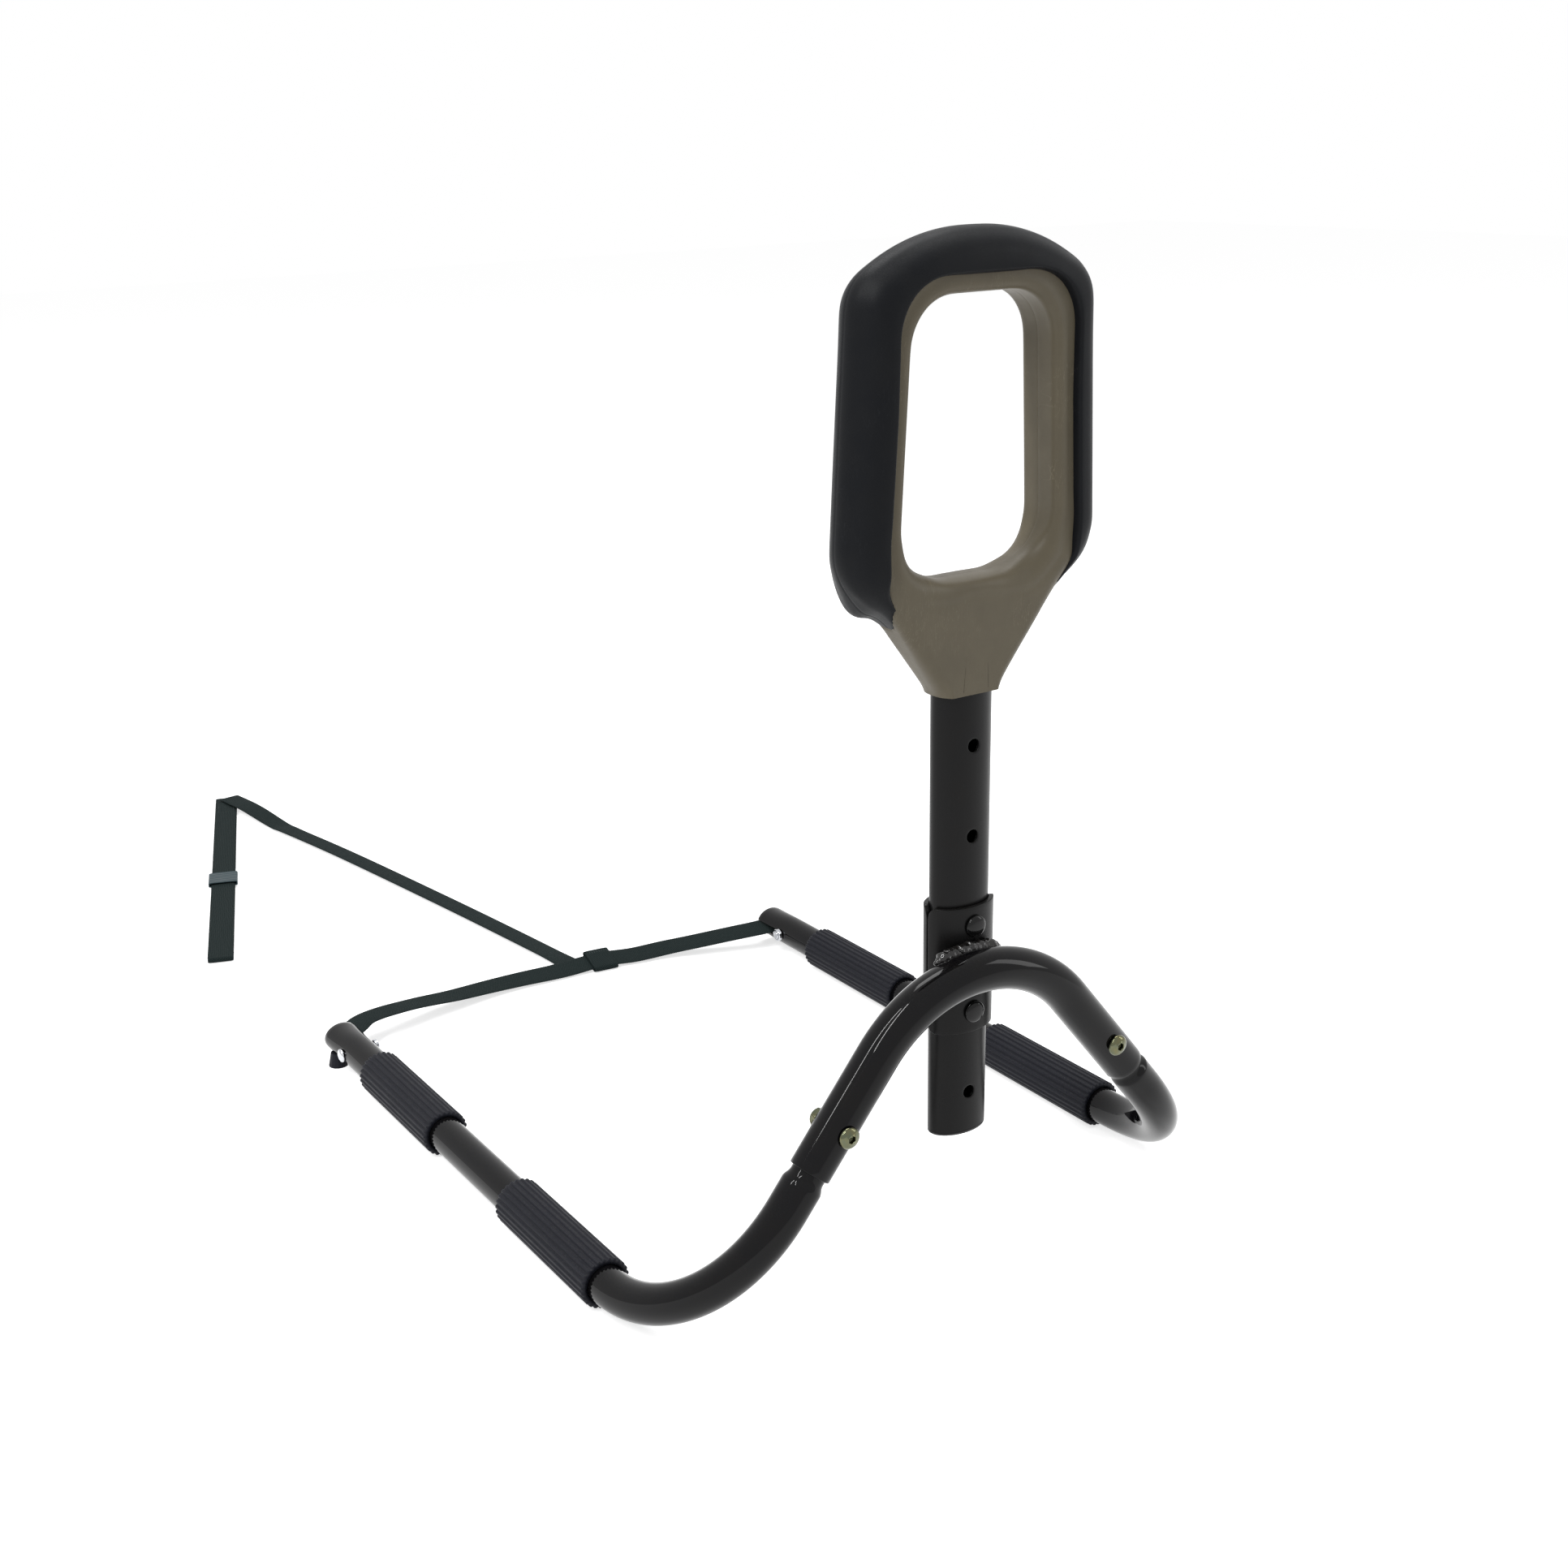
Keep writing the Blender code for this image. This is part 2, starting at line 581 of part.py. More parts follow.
def make_weld():
    """Weld bead that fills the groove between the arch's top and the sleeve."""
    points, radii = [], []
    steps = 22
    for i in range(steps + 1):
        x = POST_X + WELD_X + WELD_LENGTH * (i / steps - 0.5)
        arch_z = ARC_Z + math.sqrt(APEX_R ** 2 - x ** 2)
        ripple = WELD_RIPPLE * math.cos(i * 2.4)
        points.append(Vector((x, ARCH_Y + WELD_BACK, arch_z + WELD_UP + ripple)))
        taper = min(1.0, 0.55 + 0.18 * min(i, steps - i))
        radii.append((WELD_R + ripple) * taper)
    bead = swept("weld", points, radii, 10)
    a = POST_W + 2 * (GAP + SHELL_T + GAP)
    b = POST_D + 2 * (GAP + SHELL_T + GAP)
    plate = flat_solid("plate", [ellipse(a, b, 44, POST_X)], BEYOND)
    plate.transform(Matrix.Translation((0, 0, APEX_Z)))
    arch = swept("arch_cut", arch_points(24), ARCH_R + GAP, 28)
    add_part("weld_bead", boolean(bead, [plate, arch]), WELD)


# handle
def rounded(corners, longest, step=math.radians(18)):
    """Closed outline from corners (x, z, radius): arcs at the corners, long sides in even pieces."""
    count = len(corners)
    ends = []
    for i, (x, z, radius) in enumerate(corners):
        here = Vector((x, z))
        back = (Vector(corners[i - 1][:2]) - here).normalized()
        ahead = (Vector(corners[(i + 1) % count][:2]) - here).normalized()
        turn = math.pi - back.angle(ahead)
        if radius <= 0 or turn < 0.02:
            ends.append([here])
            continue
        reach = radius * math.tan(turn / 2)
        centre = here + (back + ahead).normalized() * radius / math.cos(turn / 2)
        start = here + back * reach - centre
        parts = max(2, round(turn / step))
        way = 1 if back.cross(ahead) < 0 else -1
        arc = []
        for k in range(parts + 1):
            a = way * turn * k / parts
            arc.append(centre + Vector((start.x * math.cos(a) - start.y * math.sin(a),
                                        start.x * math.sin(a) + start.y * math.cos(a))))
        ends.append(arc)
    points = []
    for i, arc in enumerate(ends):
        points += arc
        gap = ends[(i + 1) % count][0] - arc[-1]
        pieces = math.ceil(gap.length / longest)
        points += [arc[-1] + gap * k / pieces for k in range(1, pieces)]
    return [(p.x, p.y) for p in points]


def mirrored(right):
    """Whole closed list of corners from the right half, bottom to top."""
    return right + [(-x, z, r) for x, z, r in reversed(right)]


def handle_outline():
    """Outer outline of the funnel and the ring, at the middle of the depth."""
    return rounded(mirrored([
        (NECK_W / 2, NECK_Z - 2 * HANDLE_EDGE, 0.0), (NECK_W / 2, NECK_Z, NECK_R),
        (FUNNEL_W / 2, FUNNEL_Z, FUNNEL_R), (HIP_W / 2, HIP_Z, HIP_R),
        (SHOULDER_W / 2, SHOULDER_Z, SHOULDER_R),
        (DOME_W_SHARE * HIP_W / 2, HANDLE_TOP, DOME_R_SHARE * HIP_W)]), longest=HIP_W / 7)


def opening_outline():
    return rounded(mirrored([
        (OPENING_W_LOW / 2 - FLOOR_IN, OPENING_BOTTOM, OPENING_R_FLOOR),
        (OPENING_W_LOW / 2, OPENING_BOTTOM + OPENING_RISE, OPENING_R_LOW),
        (OPENING_W_TOP / 2, OPENING_TOP, OPENING_R_TOP)]), longest=HIP_W / 7)


def liner_outline():
    """Edge between the core and the grip, seen from the front, with the funnel below it."""
    funnel = 1.6 * GRIP_SHELL
    return rounded(mirrored([
        (NECK_W / 2 - GRIP_SHELL, NECK_Z - HANDLE_EDGE, 0.0), (FUNNEL_W / 2 - funnel, FUNNEL_Z, HANDLE_EDGE),
        (LINER_W_LOW / 2, HIP_Z, HANDLE_EDGE), (LINER_W_LOW / 2, HIP_Z + LINER_SIDE, LINER_R_LOW),
        (LINER_W_TOP / 2, LINER_TOP, LINER_R)]), longest=BEYOND)


def smoothstep(value, low, high):
    t = min(max((value - low) / (high - low), 0.0), 1.0)
    return t * t * (3 - 2 * t)


def shape_handle(mesh):
    """Stands an outline solid up, then gives it the neck's taper, the low hips at the back and the lean."""
    mesh.transform(Matrix.Rotation(math.pi / 2, 4, "X"))
    bm = bmesh.new()
    bm.from_mesh(mesh)
    for level in (NECK_Z, LEAN_Z, FUNNEL_Z):
        bmesh.ops.bisect_plane(bm, geom=bm.verts[:] + bm.edges[:] + bm.faces[:], dist=1e-6,
                               plane_co=(0, 0, level), plane_no=(0, 0, 1), clear_inner=level == NECK_Z)
    bmesh.ops.holes_fill(bm, edges=[edge for edge in bm.edges if edge.is_boundary], sides=0)
    bmesh.ops.triangulate(bm, faces=bm.faces)
    for vert in bm.verts:
        x, y, z = vert.co
        thin = (FUNNEL_Z - max(z, NECK_Z)) / (FUNNEL_Z - NECK_Z) if z < FUNNEL_Z else 0.0
        y *= 1 + thin * (NECK_D / HANDLE_DEPTH - 1)
        outer = smoothstep(abs(x), OPENING_W_LOW / 2, HIP_W / 2 - HANDLE_EDGE)
        low = 1 - smoothstep(z, HIP_Z, HIP_Z + HIP_FADE)
        back = 0.5 + y / HANDLE_DEPTH
        z -= HIP_DROP * outer * low * back
        y -= LEAN * max(z - LEAN_Z, 0.0)
        vert.co = (x + POST_X, y, z)
    bm.to_mesh(mesh)
    bm.free()
    return mesh


def ring_mesh(inset=0.0):
    """Whole handle body, ring and funnel, drawn in all round by an inset."""
    return shape_handle(flat_solid("ring", [handle_outline(), opening_outline()], HANDLE_DEPTH,
                                   HANDLE_EDGE, 0 if inset else 2, inset))


def side_wedge(name, outline):
    """Outline (y, z) drawn through the handle's whole width."""
    mesh = flat_solid(name, [outline], BEYOND)
    mesh.transform(Matrix.Rotation(math.pi / 2, 4, "Z") @ Matrix.Rotation(math.pi / 2, 4, "X"))
    return mesh


def liner_cutter(gap):
    """What lies inside the grip: the liner, the funnel, and all that is under the grip's rounded tips."""
    mesh = flat_solid("liner", [liner_outline()], 4 * HANDLE_DEPTH, shrink=gap)
    mesh.transform(Matrix.Translation((POST_X, 0, 0)) @ Matrix.Rotation(math.pi / 2, 4, "X"))
    tip = GRIP_TIP_Z - gap
    edge = [(y * HANDLE_DEPTH, tip + z * GRIP_TIP_DOWN) for y, z in GRIP_LOWER_EDGE]
    foot = NECK_Z - HANDLE_DEPTH
    below = side_wedge("below", edge + [(edge[-1][0], foot), (edge[0][0], foot)])
    return boolean(mesh, [below], "UNION")


def make_handle():
    grip = boolean(ring_mesh(), [liner_cutter(0.0)])
    grip = boolean(grip, [ring_mesh(GRIP_SHELL)])
    add_part("handle_grip", grip, GRIP_BLACK, HANDLE_AXIS)
    inside = boolean(ring_mesh(), [liner_cutter(GAP)], "INTERSECT")
    core = boolean(inside, [ring_mesh(GRIP_SHELL + 2 * GAP)], "UNION")
    bottom = NECK_Z - HANDLE_DEPTH
    pocket_top = POST_TOP + GAP
    outline = ellipse(POST_W + 2 * GAP, POST_D + 2 * GAP, 28, POST_X)
    pocket = flat_solid("pocket", [outline], pocket_top - bottom)
    pocket.transform(Matrix.Translation((0, 0, (pocket_top + bottom) / 2)))
    core = boolean(core, [pocket])
    top = HANDLE_TOP + HANDLE_DEPTH
    for name, sign in (("handle_core_front", 1), ("handle_core_back", -1)):
        seam = -sign * GAP / 2
        away = sign * BEYOND
        half = side_wedge("half", [(seam, bottom), (seam, LEAN_Z), (seam - LEAN * (top - LEAN_Z), top),
                                   (away, top), (away, bottom)])
        add_part(name, boolean(core.copy(), [half]), TAUPE, HANDLE_AXIS)


# straps
def strap_mesh(points, width=STRAP_W, thickness=STRAP_T, flat=Vector((0, 0, 1))):
    """Flat webbing along points; its faces look along the flat direction where the run allows."""
    rings = []
    for i, point in enumerate(points):
        run = (points[min(i + 1, len(points) - 1)] - points[max(i - 1, 0)]).normalized()
        side = run.cross(flat)
        side = side.normalized()
        up = side.cross(run).normalized()
        rings.append([point + side * sx * width / 2 + up * sz * thickness / 2
                      for sx, sz in ((-1, -1), (1, -1), (1, 1), (-1, 1))])
    bm = bmesh.new()
    loops = [[bm.verts.new(co) for co in ring] for ring in rings]
    for first, second in zip(loops, loops[1:]):
        for i in range(4):
            j = (i + 1) % 4
            bm.faces.new((first[i], first[j], second[j], second[i]))
    bm.faces.new(list(reversed(loops[0])))
    bm.faces.new(loops[-1])
    bmesh.ops.recalc_face_normals(bm, faces=bm.faces)
    mesh = bpy.data.meshes.new("strap")
    bm.to_mesh(mesh)
    bm.free()
    return mesh


def smooth_path(points, count):
    """Smooth open path through the points, evenly spread."""
    raw = np.array([list(p) for p in points])
    ghost = np.vstack([2 * raw[0] - raw[1], raw, 2 * raw[-1] - raw[-2]])
    fine = []
    for i in range(1, len(ghost) - 2):
        p0, p1, p2, p3 = ghost[i - 1:i + 3]
        for t in np.linspace(0, 1, 24, endpoint=False):
            fine.append(0.5 * (2 * p1 + (p2 - p0) * t + (2 * p0 - 5 * p1 + 4 * p2 - p3) * t ** 2
                               + (3 * p1 - p0 - 3 * p2 + p3) * t ** 3))
    fine.append(raw[-1])
    fine = np.array(fine)
    length = np.concatenate([[0], np.cumsum(np.linalg.norm(np.diff(fine, axis=0), axis=1))])
    wanted = np.linspace(0, length[-1], count)
    fine[:, 2] = np.maximum(fine[:, 2], STRAP_T / 2 + GAP)
    return [Vector([float(np.interp(s, length, fine[:, k])) for k in range(3)]) for s in wanted]


STRAP_Y = LEG_END_Y - SLOT_LENGTH / 2
ON_FLOOR = STRAP_T / 2 + GAP            # middle height of a strap that lies flat
IN_COLLAR = 1.5 * STRAP_T + 2 * GAP     # the same, with the sewn loop's lower layer under it
LOOP_SLIT = BUCKLE_WALL + 2 * GAP       # space between the doubled strap's two layers
STRAP_END = LEG_X - 0.004               # the cross strap ends inside the leg
TEE = Vector((TETHER_X, STRAP_Y + STRAP_BOW, 0))
CORNER = Vector((*TETHER_END, 0))
TAIL = Vector((*TAIL_END, 0))


def sagging(start, end, sag):
    """Points between two held ends of a stretch, a little below the straight line."""
    return [start.lerp(end, t) - Vector((0, 0, 4 * sag * t * (1 - t))) for t in (0.25, 0.5, 0.75)]


def cross_points():
    """Route of the cross strap: out of one leg's slot, down to the collar, and up into the other."""
    lip = LEG_X - 0.014
    left, right = Vector((-lip, STRAP_Y, LEG_Z)), Vector((lip, STRAP_Y, LEG_Z))
    tee = Vector((TEE.x, TEE.y, IN_COLLAR))
    near = [tee + Vector((-0.018, -0.002, 0)), tee + Vector((0.018, -0.003, 0))]
    points = [Vector((-STRAP_END, STRAP_Y, LEG_Z)), left] + sagging(left, near[0], STRAP_SAG) + [near[0], tee]
    points += [near[1]] + sagging(near[1], right, STRAP_SAG) + [right, Vector((STRAP_END, STRAP_Y, LEG_Z))]
    return smooth_path(points, 44)


def lay_along(mesh, middle, way):
    """Turns a mesh made along +X so that it runs along a level direction, and moves it there."""
    turn = Matrix.Rotation(math.atan2(way.y, way.x), 4, "Z")
    mesh.transform(Matrix.Translation(middle) @ turn)
    return mesh


def flat_loop(name, length, inside):
    """Closed loop of webbing lying flat along +X, with a slit of the given height inside."""
    outer = inside / 2 + STRAP_T

    def stadium(half, radius):
        points = []
        for side in (1, -1):
            for k in range(7):
                a = -math.pi / 2 + math.pi * k / 6
                points.append((side * (half - radius + radius * math.cos(a)), side * radius * math.sin(a)))
        return points

    mesh = flat_solid(name, [stadium(length / 2, outer), stadium(length / 2 - STRAP_T, inside / 2)], STRAP_W)
    mesh.transform(Matrix.Rotation(math.pi / 2, 4, "X"))
    mesh.transform(Matrix.Translation((0, 0, outer + GAP)))
    return mesh


def make_straps():
    add_part("cross_strap", strap_mesh(cross_points()), WEBBING, smooth=30)
    way = (CORNER - TEE).normalized()
    collar = flat_loop("collar", COLLAR_L, STRAP_T + 2 * GAP)
    add_part("strap_collar", lay_along(collar, TEE, way), WEBBING, smooth=30)

    start = TEE + way * (COLLAR_L / 2 + GAP)
    over = 2 * STRAP_T + LOOP_SLIT + 2 * GAP
    side = Vector((way.y, -way.x, 0))
    route = [start + Vector((0, 0, ON_FLOOR)), start + way * 0.04 + Vector((0, 0, ON_FLOOR)),
             start.lerp(CORNER, 0.30) - side * 0.003 + Vector((0, 0, ON_FLOOR)),
             start.lerp(CORNER, 0.60) - side * 0.002 + Vector((0, 0, ON_FLOOR)),
             CORNER - way * LIFT_RUN + Vector((0, 0, ON_FLOOR)),
             CORNER - way * LIFT_RUN * 0.8 + Vector((0, 0, ON_FLOOR)),
             CORNER - way * LIFT_RUN * 0.4 + Vector((0, 0, ON_FLOOR + over)),
             CORNER + Vector((0, 0, ON_FLOOR + over))]
    add_part("tether_strap", strap_mesh(smooth_path(route, 50)), WEBBING, smooth=30)

    back = (TAIL - CORNER).normalized()
    tail = flat_loop("tail", (TAIL - CORNER).length + 2 * TAIL_LEAD, LOOP_SLIT)
    add_part("strap_end_loop", lay_along(tail, (TAIL + CORNER) / 2, back), WEBBING, smooth=30)

    slide = buckle_mesh()
    add_part("slide_buckle", lay_along(slide, CORNER + back * BUCKLE_S, back), BUCKLE, smooth=30)


def buckle_mesh():
    """Slide round the doubled strap's upper layer: a frame with two windows on top and a bar between."""
    low = STRAP_T + 2 * GAP
    inside = STRAP_T + 2 * GAP
    high = low + BUCKLE_WALL + inside + 1.6 * BUCKLE_WALL
    body = block((BUCKLE_L, BUCKLE_W, high - low), (0, 0, (high + low) / 2))
    tunnel = block((2 * BUCKLE_L, STRAP_W + 2 * GAP, inside), (0, 0, low + BUCKLE_WALL + inside / 2))
    windows = [block((BUCKLE_L * 0.24, STRAP_W - 0.002, 0.010), (side * BUCKLE_L * 0.22, 0, high + 0.001))
               for side in (-1, 1)]
    return boolean(body, [tunnel] + windows)


def make_leg_end(side, name):
    """Bolt through the leg's end with a washer on each side, and the small foot under it."""
    half = LEG_R + (LEG_WIDE - LEG_R) * smoothstep(STRAP_BOLT_Y, LEG_END_Y - END_SQUASH, LEG_END_Y)
    reach = half + GAP
    bolt = bolt_mesh(STRAP_HEAD_R, STRAP_HEAD_H, 2 * reach + STRAP_NUT_H + BOLT_TIP / 3)
    bolt.transform(Matrix.Rotation(side * math.pi / 2, 4, "Z"))
    bolt.transform(Matrix.Translation((side * (LEG_X + reach), STRAP_BOLT_Y, LEG_Z)))
    add_part(f"strap_bolt_{name}", bolt, CHROME)
    middle = (side * (LEG_X - reach - STRAP_NUT_H / 2), STRAP_BOLT_Y, LEG_Z)
    ring = rod(STRAP_HEAD_R, STRAP_NUT_H, middle, "X", 16)
    ring = boolean(ring, [rod(BOLT_R + GAP, 4 * STRAP_NUT_H, middle, "X", 12)])
    add_part(f"strap_nut_{name}", ring, CHROME)
    foot = rod(FOOT_R, FOOT_H, (side * (LEG_X + FOOT_OUT), FOOT_Y, FOOT_H / 2), "Z", 16, FOOT_TOP_R)
    points = [Vector((side * LEG_X, y, LEG_Z)) for y in [LEG_END_Y - 2 * END_SQUASH] + SQUASH_Y]
    tube = swept("tube", points, LEG_R, caps=True)
    squash_end(tube, side, GAP)
    add_part(f"foot_{name}", boolean(foot, [tube]), RUBBER)


def build():
    make_arch()
    make_leg(-1, "leg_left")
    make_leg(1, "leg_right")
    for side, name in ((-1, "left"), (1, "right")):
        make_grip(f"leg_grip_{name}_near", side, GRIP_NEAR_Y, GRIP_NEAR_LENGTH)
        make_grip(f"leg_grip_{name}_far", side, GRIP_FAR_Y, GRIP_FAR_LENGTH)
        make_joint_fasteners(side, name)
        make_leg_end(side, name)
    make_post()
    make_plug()
    make_shells()
    make_height_fasteners()
    make_weld()
    make_handle()
    make_straps()


build()
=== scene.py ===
"""Looks of the bed assist bar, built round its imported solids.

Design coordinates are those of the part: metres, x along the side of the bed, y under the mattress with
y = 0 on the post's axis, z up. Every piece is moved by SHIFT_Y into the frame that it shares with the solids.
"""
import math

import bmesh
import bpy
import numpy as np
from mathutils import Matrix, Vector


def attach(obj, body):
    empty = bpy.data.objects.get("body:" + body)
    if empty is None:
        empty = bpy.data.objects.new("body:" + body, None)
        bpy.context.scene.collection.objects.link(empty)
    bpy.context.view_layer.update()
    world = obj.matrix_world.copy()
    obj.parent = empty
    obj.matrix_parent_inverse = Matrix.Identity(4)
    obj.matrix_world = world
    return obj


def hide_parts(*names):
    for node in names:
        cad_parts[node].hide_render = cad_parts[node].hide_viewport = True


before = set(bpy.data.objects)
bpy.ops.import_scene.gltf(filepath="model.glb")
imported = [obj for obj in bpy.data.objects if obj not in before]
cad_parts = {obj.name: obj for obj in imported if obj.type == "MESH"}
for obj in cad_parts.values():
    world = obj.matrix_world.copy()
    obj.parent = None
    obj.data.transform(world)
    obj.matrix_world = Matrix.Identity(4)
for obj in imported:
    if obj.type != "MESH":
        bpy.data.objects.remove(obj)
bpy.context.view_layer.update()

# sizes shared with the part
ARCH_R = 0.0118
TUBE_WALL = 0.0016
APEX_R = 0.0852
SPLAY = math.radians(39.2)
APEX_Z = 0.1922
LIMB = 0.0700
JOINT_BOLT_S = 0.0438
LEG_R = 0.01165
LEG_BEND_R = 0.0950
LEG_END_Y = 0.4600
NECK_R = 0.00985
NECK_IN = 0.0420
NECK_OUT = 0.0030
NECK_TAPER = 0.0060
END_SQUASH = 0.0340
END_HALF_H = 0.0104
SLOT_LENGTH = 0.0240
SLOT_HEIGHT = 0.0060
SLOT_START = 0.4362
GRIP_R = 0.01534
GRIP_RIBS = 26
RIB_DEPTH = 0.0009
GRIP_STARTS = {"near": 0.0690, "far": 0.2820}
GRIP_LENGTHS = {"near": 0.1100, "far": 0.1080}
POST_X = 0.0087
POST_W = 0.0370
POST_D = 0.0228
POST_BOTTOM = 0.0874
POST_TOP = 0.3900
HOLE_PITCH = 0.0508
HOLE_FIRST = 0.0240
HOLE_R = 0.00375
HOLE_COUNT = 5
HOLE_EDGE = 0.0004
PLUG_LIP = 0.0014
GAP = 0.0003
SHELL_T = 0.0027
SHELL_BOTTOM = 0.1500
SHELL_TOP = 0.2242
SHELL_CORNER = 0.0070
WELD_SIDE = 0.0070
WELD_HALF = 0.0230
HEIGHT_BOLT_HOLES = (1, 2)
HEIGHT_HEAD_R = 0.0063
HEIGHT_HEAD_H = 0.0028
BOLT_R = 0.0030
JOINT_HEAD_R = 0.0062
JOINT_HEAD_H = 0.0036
SOCKET_R = 0.0022
SOCKET_DEPTH = 0.0024
NUT_R = 0.0058
NUT_H = 0.0050
STRAP_BOLT_Y = 0.4300
STRAP_HEAD_R = 0.0048
STRAP_HEAD_H = 0.0024

# handle
HANDLE_TOP = 0.57776
HANDLE_DEPTH = 0.0287
NECK_Z = 0.3430
NECK_W = 0.0378
NECK_D = 0.0246
FUNNEL_W = 0.1151
FUNNEL_Z = 0.3978
HIP_DROP = 0.0158
HIP_Z = 0.4119
HIP_W = 0.1641
SHOULDER_W = 0.1482
SHOULDER_Z = 0.5539
OPENING_TOP = 0.5466
OPENING_BOTTOM = 0.4051
OPENING_W_TOP = 0.0866
OPENING_W_LOW = 0.0998
LEAN = 0.016
LEAN_Z = 0.3600

# straps
STRAP_W = 0.0200
STRAP_T = 0.0014
CORD_PITCH = 0.0011
RIB_PITCH = 0.0015
THREAD_R = 0.00032
TEE_PLACE = (0.0435, 0.4910)
TETHER_START = (0.0246, 0.4950)
CROSS_TILT = math.radians(11)
TETHER_TILT = math.radians(7)
TETHER_END = (-0.0640, 1.0670)
TAIL_END = (-0.2010, 0.6800)
TAIL_LEAD = 0.0080
TAIL_CUT = 0.0110
TAIL_SHIFT = 0.0020
COLLAR_L = 0.0272
BUCKLE_WALL = 0.0010
BUCKLE_OVER = 0.0060

# values that follow
ARCH_Y = -(POST_D / 2 + GAP + SHELL_T + GAP + ARCH_R)
ARC_Z = APEX_Z - APEX_R
LEG_Z = GRIP_R
LIMB_X = APEX_R * math.cos(SPLAY)
LIMB_Z = ARC_Z + APEX_R * math.sin(SPLAY)
BEND_S = (LIMB_Z - LEG_Z - LEG_BEND_R * math.cos(SPLAY)) / math.cos(SPLAY)
LEG_X = LIMB_X + (BEND_S + LEG_BEND_R) * math.sin(SPLAY)
HOLE_Z = [POST_BOTTOM + HOLE_FIRST + k * HOLE_PITCH for k in range(HOLE_COUNT)]
SHIFT_Y = -(ARCH_Y - ARCH_R - JOINT_HEAD_H - GAP + LEG_END_Y) / 2
LOOP_SLIT = BUCKLE_WALL + 2 * GAP
ON_FLOOR = STRAP_T / 2 + GAP
IN_COLLAR = 1.5 * STRAP_T + 2 * GAP
SIDES = {"left": -1, "right": 1}


# camera
CAMERA_PLACE = (-0.623641, -0.785661, 0.628752)
CAMERA_ANGLES = (-32.371, 19.627, -1.475)
CAMERA_LENS = 45.36
CAMERA_SHIFT = (0.0223, 0.0247)


def add_camera():
    """Camera fitted to the photograph, as a place, a turn about each of its axes and a lens."""
    data = bpy.data.cameras.new("camera")
    cam = bpy.data.objects.new("camera", data)
    bpy.context.scene.collection.objects.link(cam)
    azimuth, elevation, roll = (math.radians(v) for v in CAMERA_ANGLES)
    forward = Vector((-math.sin(azimuth) * math.cos(elevation), math.cos(azimuth) * math.cos(elevation),
                      -math.sin(elevation)))
    right = Vector((math.cos(azimuth), math.sin(azimuth), 0))
    up = right.cross(forward)
    turned_right = math.cos(roll) * right + math.sin(roll) * up
    turned_up = math.cos(roll) * up - math.sin(roll) * right
    turn = Matrix((turned_right, turned_up, -forward)).transposed().to_4x4()
    x, y, z = CAMERA_PLACE
    cam.matrix_world = Matrix.Translation((x, y + SHIFT_Y, z)) @ turn
    data.sensor_width = 36
    data.lens = CAMERA_LENS
    data.shift_x, data.shift_y = CAMERA_SHIFT
    data.clip_end = 50
    bpy.context.scene.camera = cam


add_camera()


# mesh tools
def lengths_along(points, axis, wrap):
    """Running length along one direction of a grid, averaged over the other."""
    steps = np.diff(points, axis=axis)
    if wrap:
        closing = np.take(points, [0], axis) - np.take(points, [-1], axis)
        steps = np.concatenate([steps, closing], axis)
    mean = np.linalg.norm(steps, axis=2).mean(1 - axis)
    return np.concatenate([[0], np.cumsum(mean)])


def grid(points, wrap_rows=False, wrap_cols=False, keep=None):
    """A part of a mesh: a grid of points, which of its directions close, and a mask of its kept faces."""
    return {"points": np.asarray(points, float), "rows": wrap_rows, "cols": wrap_cols, "keep": keep}


def mesh_of(name, parts):
    """One mesh from grids: a face for each cell, a UV map in metres, doubles merged, faces outwards."""
    verts, faces, uvs, base = [], [], [], 0
    for part in parts:
        points = part["points"]
        rows, cols = points.shape[:2]
        r, c = np.meshgrid(np.arange(rows - (not part["rows"])), np.arange(cols - (not part["cols"])),
                           indexing="ij")
        next_r, next_c = (r + 1) % rows, (c + 1) % cols
        quads = np.stack([r * cols + c, r * cols + next_c, next_r * cols + next_c, next_r * cols + c], -1)
        along = lengths_along(points, 0, part["rows"])
        across = lengths_along(points, 1, part["cols"])
        corners = np.stack([np.stack([across[c + dc], along[r + dr]], -1)
                            for dr, dc in ((0, 0), (0, 1), (1, 1), (1, 0))], 2)
        keep = np.ones(r.shape, bool) if part["keep"] is None else part["keep"]
        verts.append(points.reshape(-1, 3))
        faces.append(quads[keep] + base)
        uvs.append(corners[keep].reshape(-1, 2))
        base += rows * cols
    mesh = bpy.data.meshes.new(name)
    mesh.from_pydata(np.concatenate(verts) + (0, SHIFT_Y, 0), [], np.concatenate(faces))
    layer = mesh.uv_layers.new(name="UVMap")
    layer.data.foreach_set("uv", np.concatenate(uvs).astype(np.float32).ravel())
    bm = bmesh.new()
    bm.from_mesh(mesh)
    bmesh.ops.remove_doubles(bm, verts=bm.verts, dist=2e-7)
    loose = [v for v in bm.verts if not v.link_faces]
    bmesh.ops.delete(bm, geom=loose, context="VERTS")
    bmesh.ops.recalc_face_normals(bm, faces=bm.faces)
    bm.to_mesh(mesh)
    bm.free()
    return mesh


def piece(name, parts, look, body, nodes=(), sharp=None):
    """Makes a shown piece of grids that rides on a body and stands for CAD nodes."""
    mesh = parts if isinstance(parts, bpy.types.Mesh) else mesh_of(name, parts)
    obj = bpy.data.objects.new(name, mesh)
    bpy.context.scene.collection.objects.link(obj)
    mesh.shade_smooth()
    if sharp:
        mesh.set_sharp_from_angle(angle=math.radians(sharp))
    mesh.materials.append(look)
    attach(obj, body)
    if nodes:
        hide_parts(*nodes)
    return obj


def unit(vectors):
    """Vectors divided by their lengths."""
    return vectors / np.maximum(np.linalg.norm(vectors, axis=-1, keepdims=True), 1e-12)


